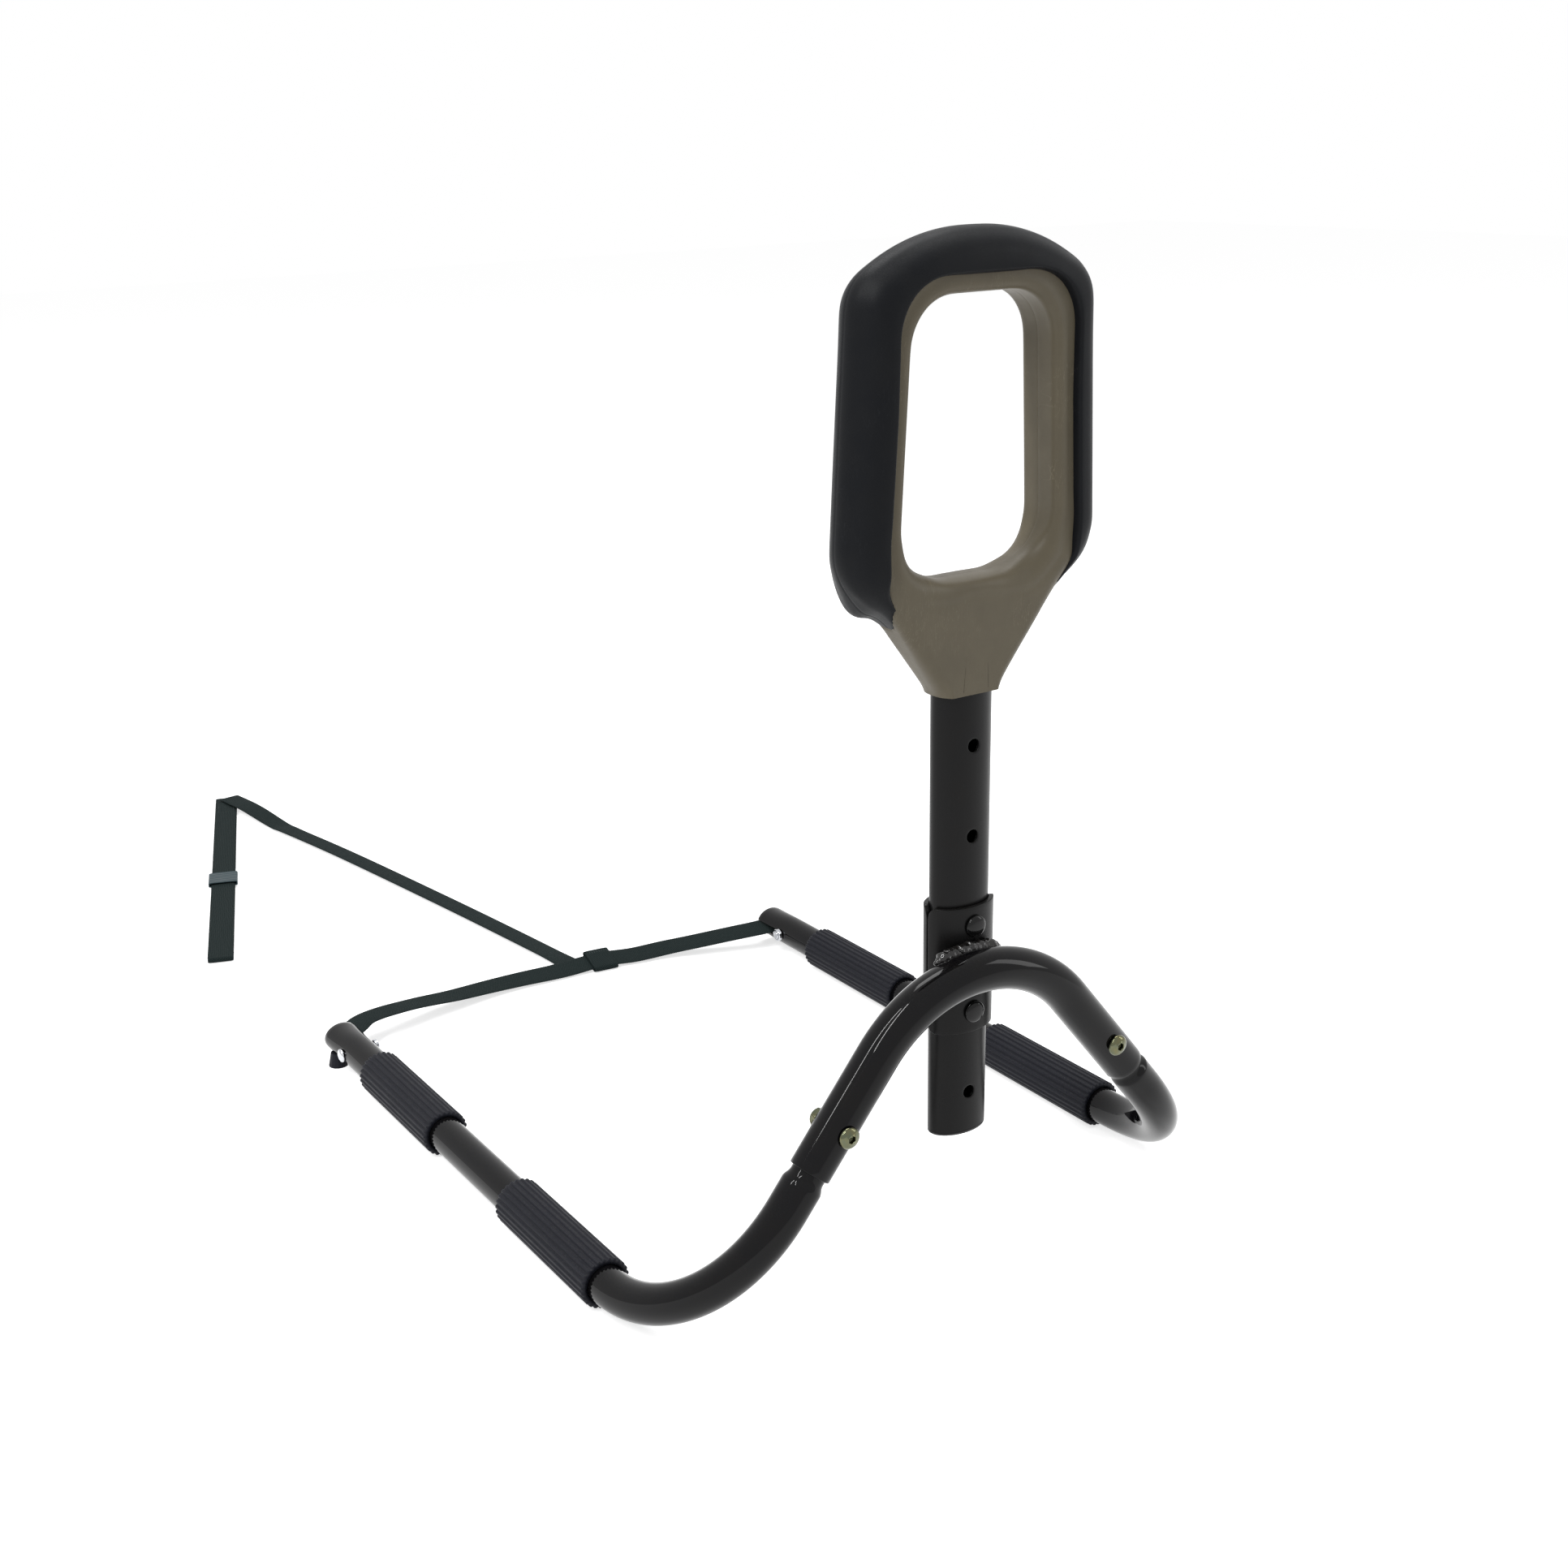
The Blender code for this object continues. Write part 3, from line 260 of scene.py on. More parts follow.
def smoothstep(value, low, high):
    """t * t * (3 - 2 t), with t the value's share of the way from low to high, held at 0 and 1."""
    t = np.clip((value - low) / (high - low), 0, 1)
    return t * t * (3 - 2 * t)


def tangents(path):
    """Unit direction at each point of a path: the difference of its neighbours, divided by its length."""
    return unit(np.gradient(path, axis=0))


def sweep(path, offsets, across):
    """Carries flat section offsets (rows, cols, 2) along a path; the second axis of the section is across."""
    along = tangents(path)
    across = np.broadcast_to(across, path.shape)
    first = unit(np.cross(along, across))
    second = unit(np.cross(first, along))
    return path[:, None] + offsets[..., :1] * first[:, None] + offsets[..., 1:] * second[:, None]


def circle(count):
    """Points (cos, sin) at even angles round a unit circle."""
    angle = np.arange(count) * 2 * math.pi / count
    return np.stack([np.cos(angle), np.sin(angle)], -1)


def tube_shell(path, radius, wall, across, count=56):
    """Closed wall of a tube open at both ends: the outer side, a half-round rim, the inner side and a rim."""
    along = tangents(path)
    radius = np.broadcast_to(radius, len(path))
    rim = 5
    turn = np.linspace(0, math.pi, rim + 2)[1:-1]
    out = 0.35 * wall * np.sin(turn)
    centre = np.concatenate([path, path[-1] + out[:, None] * along[-1], path[::-1],
                             path[0] - out[:, None] * along[0]])
    middle = wall / 2 * (1 - np.cos(turn))
    radii = np.concatenate([radius, radius[-1] - middle, radius[::-1] - wall, radius[0] - wall + middle])
    direction = np.concatenate([along, np.repeat(along[-1:], rim, 0), along[::-1],
                                np.repeat(along[:1], rim, 0)])
    first = unit(np.cross(direction, across))
    second = unit(np.cross(first, direction))
    ring = circle(count)
    return (centre[:, None] + radii[:, None, None] * (ring[None, :, :1] * first[:, None]
                                                      + ring[None, :, 1:] * second[:, None]))


def lathe(profile, count, centre, axis, hexes=None):
    """Profile (r, h) turned round an axis; rows that hexes marks are six-sided instead of round."""
    profile = np.asarray(profile, float)
    angle = np.arange(count) * 2 * math.pi / count
    reach = np.ones((len(profile), count))
    if hexes is not None:
        flat = math.cos(math.pi / 6) / np.cos((angle + math.pi / 6) % (math.pi / 3) - math.pi / 6)
        reach = np.where(np.asarray(hexes)[:, None], flat[None], reach)
    axis = unit(np.asarray(axis, float))
    helper = np.array([0, 0, 1.0]) if abs(axis[2]) < 0.9 else np.array([1.0, 0, 0])
    first = unit(np.cross(helper, axis))
    second = np.cross(axis, first)
    ring = np.cos(angle)[:, None] * first + np.sin(angle)[:, None] * second
    r = (profile[:, 0, None] * reach)[..., None]
    return np.asarray(centre, float) + r * ring[None] + profile[:, 1, None, None] * axis


# materials
def new_material(name, colour, roughness, metallic=0.0, **sockets):
    """Material with its plain values on the shader; the sockets are keywords with _ for a space."""
    mat = bpy.data.materials.new(name)
    mat.use_nodes = True
    shader = mat.node_tree.nodes["Principled BSDF"]
    shader.inputs["Base Color"].default_value = (*colour, 1)
    shader.inputs["Roughness"].default_value = roughness
    shader.inputs["Metallic"].default_value = metallic
    for key, value in sockets.items():
        shader.inputs[key.replace("_", " ")].default_value = value
    return mat


def put(tree, kind, inputs=(), **settings):
    """Adds a node; each input is a (name or number, value or socket) pair."""
    node = tree.nodes.new(kind)
    for key, value in settings.items():
        setattr(node, key, value)
    for key, value in inputs:
        socket = node.inputs[key]
        if isinstance(value, bpy.types.NodeSocket):
            tree.links.new(value, socket)
        else:
            socket.default_value = value
    return node


def calc(tree, operation, *values, clamp=False):
    """Number worked out by a Math node from numbers or sockets."""
    return put(tree, "ShaderNodeMath", list(enumerate(values)), operation=operation, use_clamp=clamp).outputs[0]


def ramp(tree, value, low, high, to_low=0.0, to_high=1.0):
    """Straight-line step of a value from one range to another, held at its ends."""
    return put(tree, "ShaderNodeMapRange", [("Value", value), ("From Min", low), ("From Max", high),
                                            ("To Min", to_low), ("To Max", to_high)]).outputs[0]


def noise(tree, vector, scale, detail=3.0, roughness=0.5):
    """Soft noise from 0 to 1, with Scale in cells per metre."""
    return put(tree, "ShaderNodeTexNoise", [("Vector", vector), ("Scale", scale), ("Detail", detail),
                                            ("Roughness", roughness)]).outputs["Fac"]


def new_group(name, inputs, outputs):
    """Node group with named inputs (name, kind, value) and number outputs; returns it and its two ends."""
    tree = bpy.data.node_groups.new(name, "ShaderNodeTree")
    for key, kind, value in inputs:
        socket = tree.interface.new_socket(name=key, in_out="INPUT", socket_type=f"NodeSocket{kind}")
        if value is not None:
            socket.default_value = value
    for key in outputs:
        tree.interface.new_socket(name=key, in_out="OUTPUT", socket_type="NodeSocketFloat")
    return tree, put(tree, "NodeGroupInput").outputs, put(tree, "NodeGroupOutput").inputs


def grain_group():
    """Moulded or sprayed skin: height = 0.6 noise + 0.4 cells at Scale, and pale specks where noise is high."""
    tree, given, result = new_group("skin_grain", [("Vector", "Vector", None), ("Scale", "Float", 1500.0)],
                                    ["Height", "Speck"])
    fine = noise(tree, given["Vector"], given["Scale"], 2.0, 0.6)
    cells = put(tree, "ShaderNodeTexVoronoi", [("Vector", given["Vector"]),
                                               ("Scale", given["Scale"])]).outputs["Distance"]
    tree.links.new(calc(tree, "ADD", calc(tree, "MULTIPLY", fine, 0.6), calc(tree, "MULTIPLY", cells, 0.4)),
                   result["Height"])
    tree.links.new(ramp(tree, fine, 0.60, 0.78), result["Speck"])
    return tree


def handling_group():
    """Traces of use: dust = how far a face looks up, squared, times noise; smudge = slow noise with
    drawn-out streaks; scratch = thin lines where a stretched noise crosses its middle."""
    tree, given, result = new_group("handling_marks", [("Vector", "Vector", None), ("Normal", "Vector", None),
                                                       ("Scale", "Float", 60.0)], ["Dust", "Smudge", "Scratch"])
    facing = put(tree, "ShaderNodeSeparateXYZ", [("Vector", given["Normal"])]).outputs["Z"]
    up = calc(tree, "MAXIMUM", facing, 0.0)
    specks = ramp(tree, noise(tree, given["Vector"], 900.0, 4.0, 0.7), 0.48, 0.75)
    tree.links.new(calc(tree, "MULTIPLY", calc(tree, "MULTIPLY", up, up), specks), result["Dust"])
    slow = noise(tree, given["Vector"], given["Scale"], 4.0, 0.6)
    stretched = put(tree, "ShaderNodeMapping", [("Vector", given["Vector"]), ("Rotation", (0.4, 0.3, 0.7)),
                                                ("Scale", (900.0, 40.0, 90.0))]).outputs[0]
    streak = noise(tree, stretched, 1.0, 2.0)
    tree.links.new(calc(tree, "ADD", calc(tree, "MULTIPLY", ramp(tree, slow, 0.35, 0.70), 0.75),
                        calc(tree, "MULTIPLY", streak, 0.25), clamp=True), result["Smudge"])
    line = calc(tree, "ABSOLUTE", calc(tree, "SUBTRACT", streak, 0.5))
    rare = ramp(tree, noise(tree, given["Vector"], 25.0, 2.0), 0.55, 0.68)
    tree.links.new(calc(tree, "MULTIPLY", ramp(tree, line, 0.0, 0.012, 1.0, 0.0), rare), result["Scratch"])
    return tree


def weave_group():
    """Webbing by its UV in metres: warp cords across the width and weft ribs along it,
    height = |sin(pi u / across)| * (0.5 + 0.5 |sin(pi (v / along + half a step on each second cord))|)."""
    inputs = [("Vector", "Vector", None), ("Across", "Float", CORD_PITCH), ("Along", "Float", RIB_PITCH)]
    tree, given, result = new_group("webbing_weave", inputs, ["Height", "Cord", "Fuzz"])
    parts = put(tree, "ShaderNodeSeparateXYZ", [("Vector", given["Vector"])]).outputs
    u = calc(tree, "DIVIDE", parts["X"], given["Across"])
    v = calc(tree, "DIVIDE", parts["Y"], given["Along"])
    step = calc(tree, "MULTIPLY", calc(tree, "MODULO", calc(tree, "FLOOR", u), 2.0), 0.5)
    cord = calc(tree, "ABSOLUTE", calc(tree, "SINE", calc(tree, "MULTIPLY", u, math.pi)))
    rib = calc(tree, "ABSOLUTE", calc(tree, "SINE", calc(tree, "MULTIPLY", calc(tree, "ADD", v, step),
                                                         math.pi)))
    raised = calc(tree, "ADD", 0.5, calc(tree, "MULTIPLY", rib, 0.5))
    tree.links.new(calc(tree, "MULTIPLY", cord, raised), result["Height"])
    tree.links.new(calc(tree, "MULTIPLY", cord, rib), result["Cord"])
    tree.links.new(ramp(tree, noise(tree, given["Vector"], 2500.0, 3.0, 0.7), 0.4, 0.75), result["Fuzz"])
    return tree


def plating_group():
    """Electroplated metal: slow clouds for its tint, fine pits, and the same fine noise as its height."""
    tree, given, result = new_group("plating_clouds", [("Vector", "Vector", None), ("Scale", "Float", 220.0)],
                                    ["Tint", "Pits", "Height"])
    slow = noise(tree, given["Vector"], given["Scale"], 3.0, 0.55)
    tree.links.new(ramp(tree, slow, 0.35, 0.68), result["Tint"])
    fine = noise(tree, given["Vector"], 2600.0, 3.0, 0.6)
    tree.links.new(ramp(tree, fine, 0.62, 0.75), result["Pits"])
    tree.links.new(fine, result["Height"])
    return tree


GRAIN, HANDLING, WEAVE, PLATING = grain_group(), handling_group(), weave_group(), plating_group()


def use(tree, group, vector, **values):
    """Places a node group with its own values and returns its outputs."""
    return put(tree, "ShaderNodeGroup", [("Vector", vector), *values.items()], node_tree=group).outputs


def blend(tree, amount, first, second):
    """Colour mixed from two colours or sockets by an amount."""
    first, second = ((*c, 1) if isinstance(c, tuple) else c for c in (first, second))
    return put(tree, "ShaderNodeMix", [(0, amount), (6, first), (7, second)], data_type="RGBA").outputs[2]


def add_bump(tree, shader, height, distance):
    """Feeds the shader's normal from a height, of which 1 stands for the distance in metres."""
    bump = put(tree, "ShaderNodeBump", [("Height", height), ("Distance", distance), ("Strength", 1.0)])
    tree.links.new(bump.outputs[0], shader.inputs["Normal"])


def coated(name, colour, second, dust, rough, grain_scale, grain_height, **sockets):
    """Painted, moulded or soft surface: colour mixed with a second one by smudges, dust on faces that look
    up, pale specks and scratches; roughness from its low to its high value by smudges, and a grain bump."""
    mat = new_material(name, colour, rough[0], **sockets)
    tree = mat.node_tree
    shader = tree.nodes["Principled BSDF"]
    spot = put(tree, "ShaderNodeTexCoord").outputs
    grain = use(tree, GRAIN, spot["Object"], Scale=grain_scale)
    marked = use(tree, HANDLING, spot["Object"], Normal=spot["Normal"])
    body = blend(tree, marked["Smudge"], colour, second)
    worn = blend(tree, calc(tree, "MULTIPLY", marked["Scratch"], 0.25), body, tuple(3.5 * c for c in second))
    dusty = blend(tree, calc(tree, "MULTIPLY", marked["Dust"], dust), worn, (0.30, 0.29, 0.27))
    speckled = blend(tree, calc(tree, "MULTIPLY", grain["Speck"], 0.12), dusty, tuple(1.8 * c for c in second))
    tree.links.new(speckled, shader.inputs["Base Color"])
    tree.links.new(calc(tree, "ADD", ramp(tree, marked["Smudge"], 0.0, 1.0, *rough),
                        calc(tree, "MULTIPLY", marked["Dust"], dust), clamp=True), shader.inputs["Roughness"])
    add_bump(tree, shader, grain["Height"], grain_height)
    return mat


def plated(name, colour, second, rough):
    """Plated metal: tint clouds between two colours, smudged roughness and darker pits."""
    mat = new_material(name, colour, rough[0], 1.0)
    tree = mat.node_tree
    shader = tree.nodes["Principled BSDF"]
    spot = put(tree, "ShaderNodeTexCoord").outputs
    clouds = use(tree, PLATING, spot["Object"], Scale=240.0)
    marked = use(tree, HANDLING, spot["Object"], Normal=spot["Normal"], Scale=160.0)
    tinted = blend(tree, clouds["Tint"], colour, second)
    pitted = blend(tree, calc(tree, "MULTIPLY", clouds["Pits"], 0.35), tinted, tuple(0.35 * c for c in colour))
    tree.links.new(pitted, shader.inputs["Base Color"])
    tree.links.new(ramp(tree, marked["Smudge"], 0.0, 1.0, *rough), shader.inputs["Roughness"])
    add_bump(tree, shader, clouds["Height"], 0.000004)
    return mat


def woven(name, colour, second):
    """Webbing: painted shade in the weave's valleys with lighter crests, pale fuzz, and the weave as a bump."""
    mat = new_material(name, colour, 0.75, Specular_IOR_Level=0.10)
    tree = mat.node_tree
    shader = tree.nodes["Principled BSDF"]
    uv = put(tree, "ShaderNodeTexCoord").outputs["UV"]
    weave = use(tree, WEAVE, uv)
    # painted shade: the colour falls to 0.45 of itself in the weave's valleys and rises to the second colour on
    # the crests
    cords = blend(tree, weave["Cord"], tuple(0.45 * c for c in colour), second)
    fuzzy = blend(tree, calc(tree, "MULTIPLY", weave["Fuzz"], 0.1), cords, tuple(2.2 * c for c in second))
    tree.links.new(fuzzy, shader.inputs["Base Color"])
    tree.links.new(ramp(tree, weave["Cord"], 0.0, 1.0, 0.9, 0.62), shader.inputs["Roughness"])
    add_bump(tree, shader, weave["Height"], 0.00022)
    return mat


PAINT = coated("gloss_black_paint", (0.0026, 0.0026, 0.0036), (0.0040, 0.0035, 0.0035), dust=0.03,
               rough=(0.045, 0.08), grain_scale=320.0, grain_height=0.0000010, Specular_IOR_Level=0.17)
SATIN = coated("satin_black_paint", (0.0050, 0.0050, 0.0054), (0.0062, 0.0058, 0.0056), dust=0.03,
               rough=(0.26, 0.34), grain_scale=1100.0, grain_height=0.000008, Specular_IOR_Level=0.14)
WELD = coated("welded_paint", (0.0060, 0.0058, 0.0060), (0.012, 0.010, 0.009), dust=0.04,
              rough=(0.05, 0.12), grain_scale=900.0, grain_height=0.000006, Specular_IOR_Level=0.50)
GRIP_BLACK = coated("soft_grip_black", (0.0068, 0.0076, 0.0094), (0.0090, 0.0096, 0.0108), dust=0.03,
                    rough=(0.38, 0.48), grain_scale=2600.0, grain_height=0.00005, Specular_IOR_Level=0.09)
TAUPE = coated("taupe_plastic", (0.128, 0.109, 0.073), (0.112, 0.096, 0.066), dust=0.04,
               rough=(0.38, 0.48), grain_scale=2400.0, grain_height=0.00004, Specular_IOR_Level=0.24)
RUBBER = coated("ribbed_rubber", (0.0085, 0.0092, 0.0140), (0.0120, 0.0128, 0.0180), dust=0.10,
                rough=(0.44, 0.58), grain_scale=1800.0, grain_height=0.00005, Specular_IOR_Level=0.13)
BLACK_STEEL = coated("black_bolt", (0.0056, 0.0056, 0.0060), (0.0080, 0.0076, 0.0074), dust=0.03,
                     rough=(0.08, 0.14), grain_scale=1500.0, grain_height=0.000003, Specular_IOR_Level=0.22)
BUCKLE = coated("buckle_plastic", (0.026, 0.046, 0.054), (0.034, 0.056, 0.064), dust=0.04,
                rough=(0.34, 0.48), grain_scale=1600.0, grain_height=0.00003, Specular_IOR_Level=0.22)
CAP = coated("plug_plastic", (0.0075, 0.0075, 0.0080), (0.0100, 0.0100, 0.0105), dust=0.05,
             rough=(0.32, 0.46), grain_scale=1600.0, grain_height=0.00004)
ZINC = plated("yellow_zinc", (0.138, 0.132, 0.072), (0.106, 0.122, 0.084), (0.12, 0.22))
CHROME = plated("bright_chrome", (0.60, 0.61, 0.63), (0.52, 0.54, 0.58), (0.05, 0.14))
THREAD = coated("strap_thread", (0.020, 0.030, 0.030), (0.028, 0.038, 0.038), dust=0.05,
                rough=(0.6, 0.7), grain_scale=4000.0, grain_height=0.00004, Specular_IOR_Level=0.2)
WEBBING = woven("webbing", (0.011, 0.019, 0.019), (0.018, 0.028, 0.028))


# arch and legs
def on_limb(side, s):
    """Points at distances s down a limb's axis."""
    s = np.atleast_1d(s)
    x, z = side * (LIMB_X + s * math.sin(SPLAY)), LIMB_Z - s * math.cos(SPLAY)
    return np.stack([x, np.full(s.shape, ARCH_Y), z], -1)


def arch_path():
    """Left limb, arc about the arch's centre, right limb."""
    angle = np.linspace(math.pi - SPLAY, SPLAY, 90)
    arc = np.stack([APEX_R * np.cos(angle), np.full(angle.shape, ARCH_Y), ARC_Z + APEX_R * np.sin(angle)], -1)
    s = np.linspace(0, LIMB, 26)[1:]
    return np.concatenate([on_limb(-1, s)[::-1], arc, on_limb(1, s)])


def leg_path(side):
    """From inside the limb, along it, round a quarter circle and straight to the open end."""
    s = np.concatenate([np.linspace(LIMB - NECK_IN, LIMB + NECK_OUT, 14),
                        np.linspace(LIMB + NECK_OUT, LIMB + NECK_OUT + NECK_TAPER, 12)[1:],
                        np.linspace(LIMB + NECK_OUT + NECK_TAPER, BEND_S, 8)[1:]])
    limb = on_limb(side, s)
    angle = np.linspace(0, math.pi / 2, 60)[1:]
    down = np.array([side * math.sin(SPLAY), 0, -math.cos(SPLAY)])
    bend = limb[-1] + LEG_BEND_R * (np.sin(angle)[:, None] * down
                                    + (1 - np.cos(angle))[:, None] * np.array([0, 1, 0]))
    straight = np.linspace(bend[-1, 1], LEG_END_Y, 110)[1:]
    run = np.stack([np.full(straight.shape, side * LEG_X), straight, np.full(straight.shape, LEG_Z)], -1)
    distance = np.concatenate([s, BEND_S + LEG_BEND_R * angle, BEND_S + LEG_BEND_R * math.pi / 2
                               + straight - bend[-1, 1]])
    return np.concatenate([limb, bend, run]), distance


def make_arch():
    """The arch's path with a round section and a wall of even thickness."""
    shell = tube_shell(arch_path(), ARCH_R, TUBE_WALL, np.array([0, 1.0, 0]))
    piece("bent_arch", [grid(shell, True, True)], PAINT, "frame", ["arch_tube"])


def cut_by(mesh, cutter):
    """The mesh with another closed mesh taken out of it, by an exact Boolean worked out once."""
    body, tool = bpy.data.objects.new("body", mesh), bpy.data.objects.new("tool", cutter)
    for obj in (body, tool):
        bpy.context.scene.collection.objects.link(obj)
    cut = body.modifiers.new("cut", "BOOLEAN")
    cut.object, cut.operation, cut.solver = tool, "DIFFERENCE", "EXACT"
    bpy.context.view_layer.update()
    result = bpy.data.meshes.new_from_object(body.evaluated_get(bpy.context.evaluated_depsgraph_get()))
    for obj in (body, tool):
        bpy.data.objects.remove(obj)
    return result


def slot_cutter(side):
    """Long rounded key through the inner wall of a leg's open end: its (y, z) outline carried along x."""
    turn = np.linspace(math.pi / 2, 3 * math.pi / 2, 13)
    half = SLOT_HEIGHT / 2
    y = np.concatenate([[LEG_END_Y + 0.010], SLOT_START + half + half * np.cos(turn), [LEG_END_Y + 0.010]])
    z = np.concatenate([[half], half * np.sin(turn), [-half]]) + LEG_Z
    x = side * np.array([LEG_X - 0.030, LEG_X - 0.030, LEG_X - 0.004, LEG_X - 0.004])
    rings = np.stack(np.broadcast_arrays(x[:, None], y[None], z[None]), -1)
    rings[[0, 3], :, 1:] = (LEG_END_Y, LEG_Z)
    return mesh_of("key", [grid(rings, False, True)])


def make_leg(side, name):
    """Tube whose radius rises from the swaged neck to the full size and whose end is pressed flatter."""
    path, s = leg_path(side)
    radius = NECK_R + (LEG_R - NECK_R) * smoothstep(s, LIMB + NECK_OUT, LIMB + NECK_OUT + NECK_TAPER)
    normal = np.cross([side * math.sin(SPLAY), 0, -math.cos(SPLAY)], [0, 1.0, 0])
    shell = tube_shell(path, radius, TUBE_WALL, normal, 64)
    t = smoothstep(shell[..., 1], LEG_END_Y - END_SQUASH, LEG_END_Y)
    wide = 2 * LEG_R - END_HALF_H
    shell[..., 2] = LEG_Z + (shell[..., 2] - LEG_Z) * (1 + t * (END_HALF_H / LEG_R - 1))
    shell[..., 0] = side * LEG_X + (shell[..., 0] - side * LEG_X) * (1 + t * (wide / LEG_R - 1))
    mesh = cut_by(mesh_of(f"bent_leg_{name}", [grid(shell, True, True)]), slot_cutter(side))
    piece(f"bent_leg_{name}", mesh, PAINT, "frame", [f"leg_{name}"], 40)


def make_leg_grip(side, name, place):
    """Rubber sleeve: a radius that rises and falls with the angle for the ribs, and thin lips at its ends."""
    start, length = GRIP_STARTS[place], GRIP_LENGTHS[place]
    count = GRIP_RIBS * 12
    angle = -math.pi / 2 + np.arange(count) * 2 * math.pi / count
    wave = 0.5 + 0.5 * np.cos(np.arange(count) * 2 * math.pi / 12)
    rib = smoothstep(wave, 0.15, 0.75)
    bore = LEG_R + GAP
    y = np.concatenate([[0, 0.0002, 0.0008, 0.0016], np.linspace(0.004, length - 0.004, 24),
                        length - np.array([0.0016, 0.0008, 0.0002, 0])])
    lip = np.minimum(y, length - y)
    rise = np.sqrt(np.clip(1 - (1 - np.clip(lip / 0.0009, 0, 1)) ** 2, 0, 1))
    outer = (GRIP_R - RIB_DEPTH) + RIB_DEPTH * rib[None] * rise[:, None] - 0.0008 * (1 - rise[:, None])
    inner = np.full((2, count), bore)
    radii = np.concatenate([outer, inner])
    along = np.concatenate([y, [length, 0]]) + start
    points = np.stack([side * LEG_X + radii * np.cos(angle), np.broadcast_to(along[:, None], radii.shape),
                       LEG_Z + radii * np.sin(angle)], -1)
    piece(f"ribbed_grip_{name}_{place}", [grid(points, True, True)], RUBBER, "frame",
          [f"leg_grip_{name}_{place}"])


# post
def oval_point(s, width, depth):
    """Point of an oval at distance s round it from its front middle, by a fine table of its length."""
    angle = np.linspace(-math.pi, math.pi, 2001)
    x, y = width / 2 * np.sin(angle), -depth / 2 * np.cos(angle)
    run = np.concatenate([[0], np.cumsum(np.hypot(np.diff(x), np.diff(y)))])
    run -= run[1000]
    return np.stack([np.interp(s, run, x), np.interp(s, run, y)], -1), run[-1]


def make_post():
    """Oval tube: outer and inner walls over (distance round, height), with round holes let into both walls."""
    half = oval_point(np.zeros(1), POST_W, POST_D)[1]
    window = 2 * HOLE_R
    side_cols = np.linspace(window, half - window, 22)
    s = np.concatenate([-half + np.linspace(0, window, 7)[:-1], -side_cols[::-1][:-1],
                        np.linspace(-window, window, 13)[:-1], side_cols[:-1],
                        half - window + np.linspace(0, window, 7)[:-1]])
    z = [np.linspace(POST_BOTTOM, HOLE_Z[0] - window, 8)[:-1]]
    for k, hole in enumerate(HOLE_Z):
        z.append(np.linspace(hole - window, hole + window, 13)[:-1])
        upper = HOLE_Z[k + 1] - window if k + 1 < HOLE_COUNT else POST_TOP
        z.append(np.linspace(hole + window, upper, 10)[:-1])
    z = np.concatenate(z + [[POST_TOP]])

    def wall(s_values, z_values, inset):
        """Point of the oval wall, drawn in by the inset: the oval times 1 - 2 inset / width."""
        scale = 1 - 2 * inset / POST_W
        flat, _ = oval_point(s_values, POST_W, POST_D)
        x = flat[..., 0] * scale
        y = flat[..., 1] * (1 - 2 * inset / POST_D)
        return np.stack(np.broadcast_arrays(POST_X + x, y, z_values), -1)

    cell_s = (s + np.roll(s, -1)) / 2
    cell_s[-1] = (s[-1] + half) / 2
    cell_z = (z[:-1] + z[1:]) / 2
    near_hole = np.zeros(len(cell_z), bool)
    for hole in HOLE_Z:
        near_hole |= abs(cell_z - hole) < window
    in_column = (abs(cell_s) < window) | (abs(cell_s) > half - window)
    keep = ~(near_hole[:, None] & in_column[None])
    parts = []
    for inset in (0, TUBE_WALL):
        parts.append(grid(wall(s[None], z[:, None], inset), False, True, keep))
    for end in (POST_TOP, POST_BOTTOM):
        rim = np.stack([wall(s, np.full(s.shape, end), inset) for inset in (0, TUBE_WALL)])
        parts.append(grid(rim, False, True))
    steps = np.linspace(-window, window, 13)
    low, high = np.full(13, -window), np.full(13, window)
    frame_s = np.concatenate([steps[:-1], high[:-1], steps[::-1][:-1], low[:-1]])
    frame_z = np.concatenate([low[:-1], steps[:-1], high[:-1], steps[::-1][:-1]])
    angle = np.arctan2(frame_z, frame_s)
    wide = HOLE_R + HOLE_EDGE
    hole_rows = ((0, wide), (0.4, wide), (0.75, wide), (1, wide), (1, HOLE_R + 0.0001), (1, HOLE_R))
    for hole in HOLE_Z:
        for centre in (0.0, half):
            rings = []
            for inset in (0, TUBE_WALL):
                levels = []
                for mix, edge in hole_rows:
                    ds = frame_s * (1 - mix) + edge * np.cos(angle) * mix
                    dz = frame_z * (1 - mix) + edge * np.sin(angle) * mix
                    sunk = HOLE_EDGE * (1 - math.sqrt(max(0, 1 - ((wide - edge) / HOLE_EDGE) ** 2)))
                    place = centre + ds
                    place = np.where(place > half, place - 2 * half, place)
                    levels.append(wall(place, hole + dz, inset + (sunk if inset == 0 else -sunk)))
                rings += levels if inset == 0 else levels[::-1]
            parts.append(grid(np.stack(rings), False, True))
    piece("post_oval", parts, SATIN, "handle_post", ["post_tube"], 50)


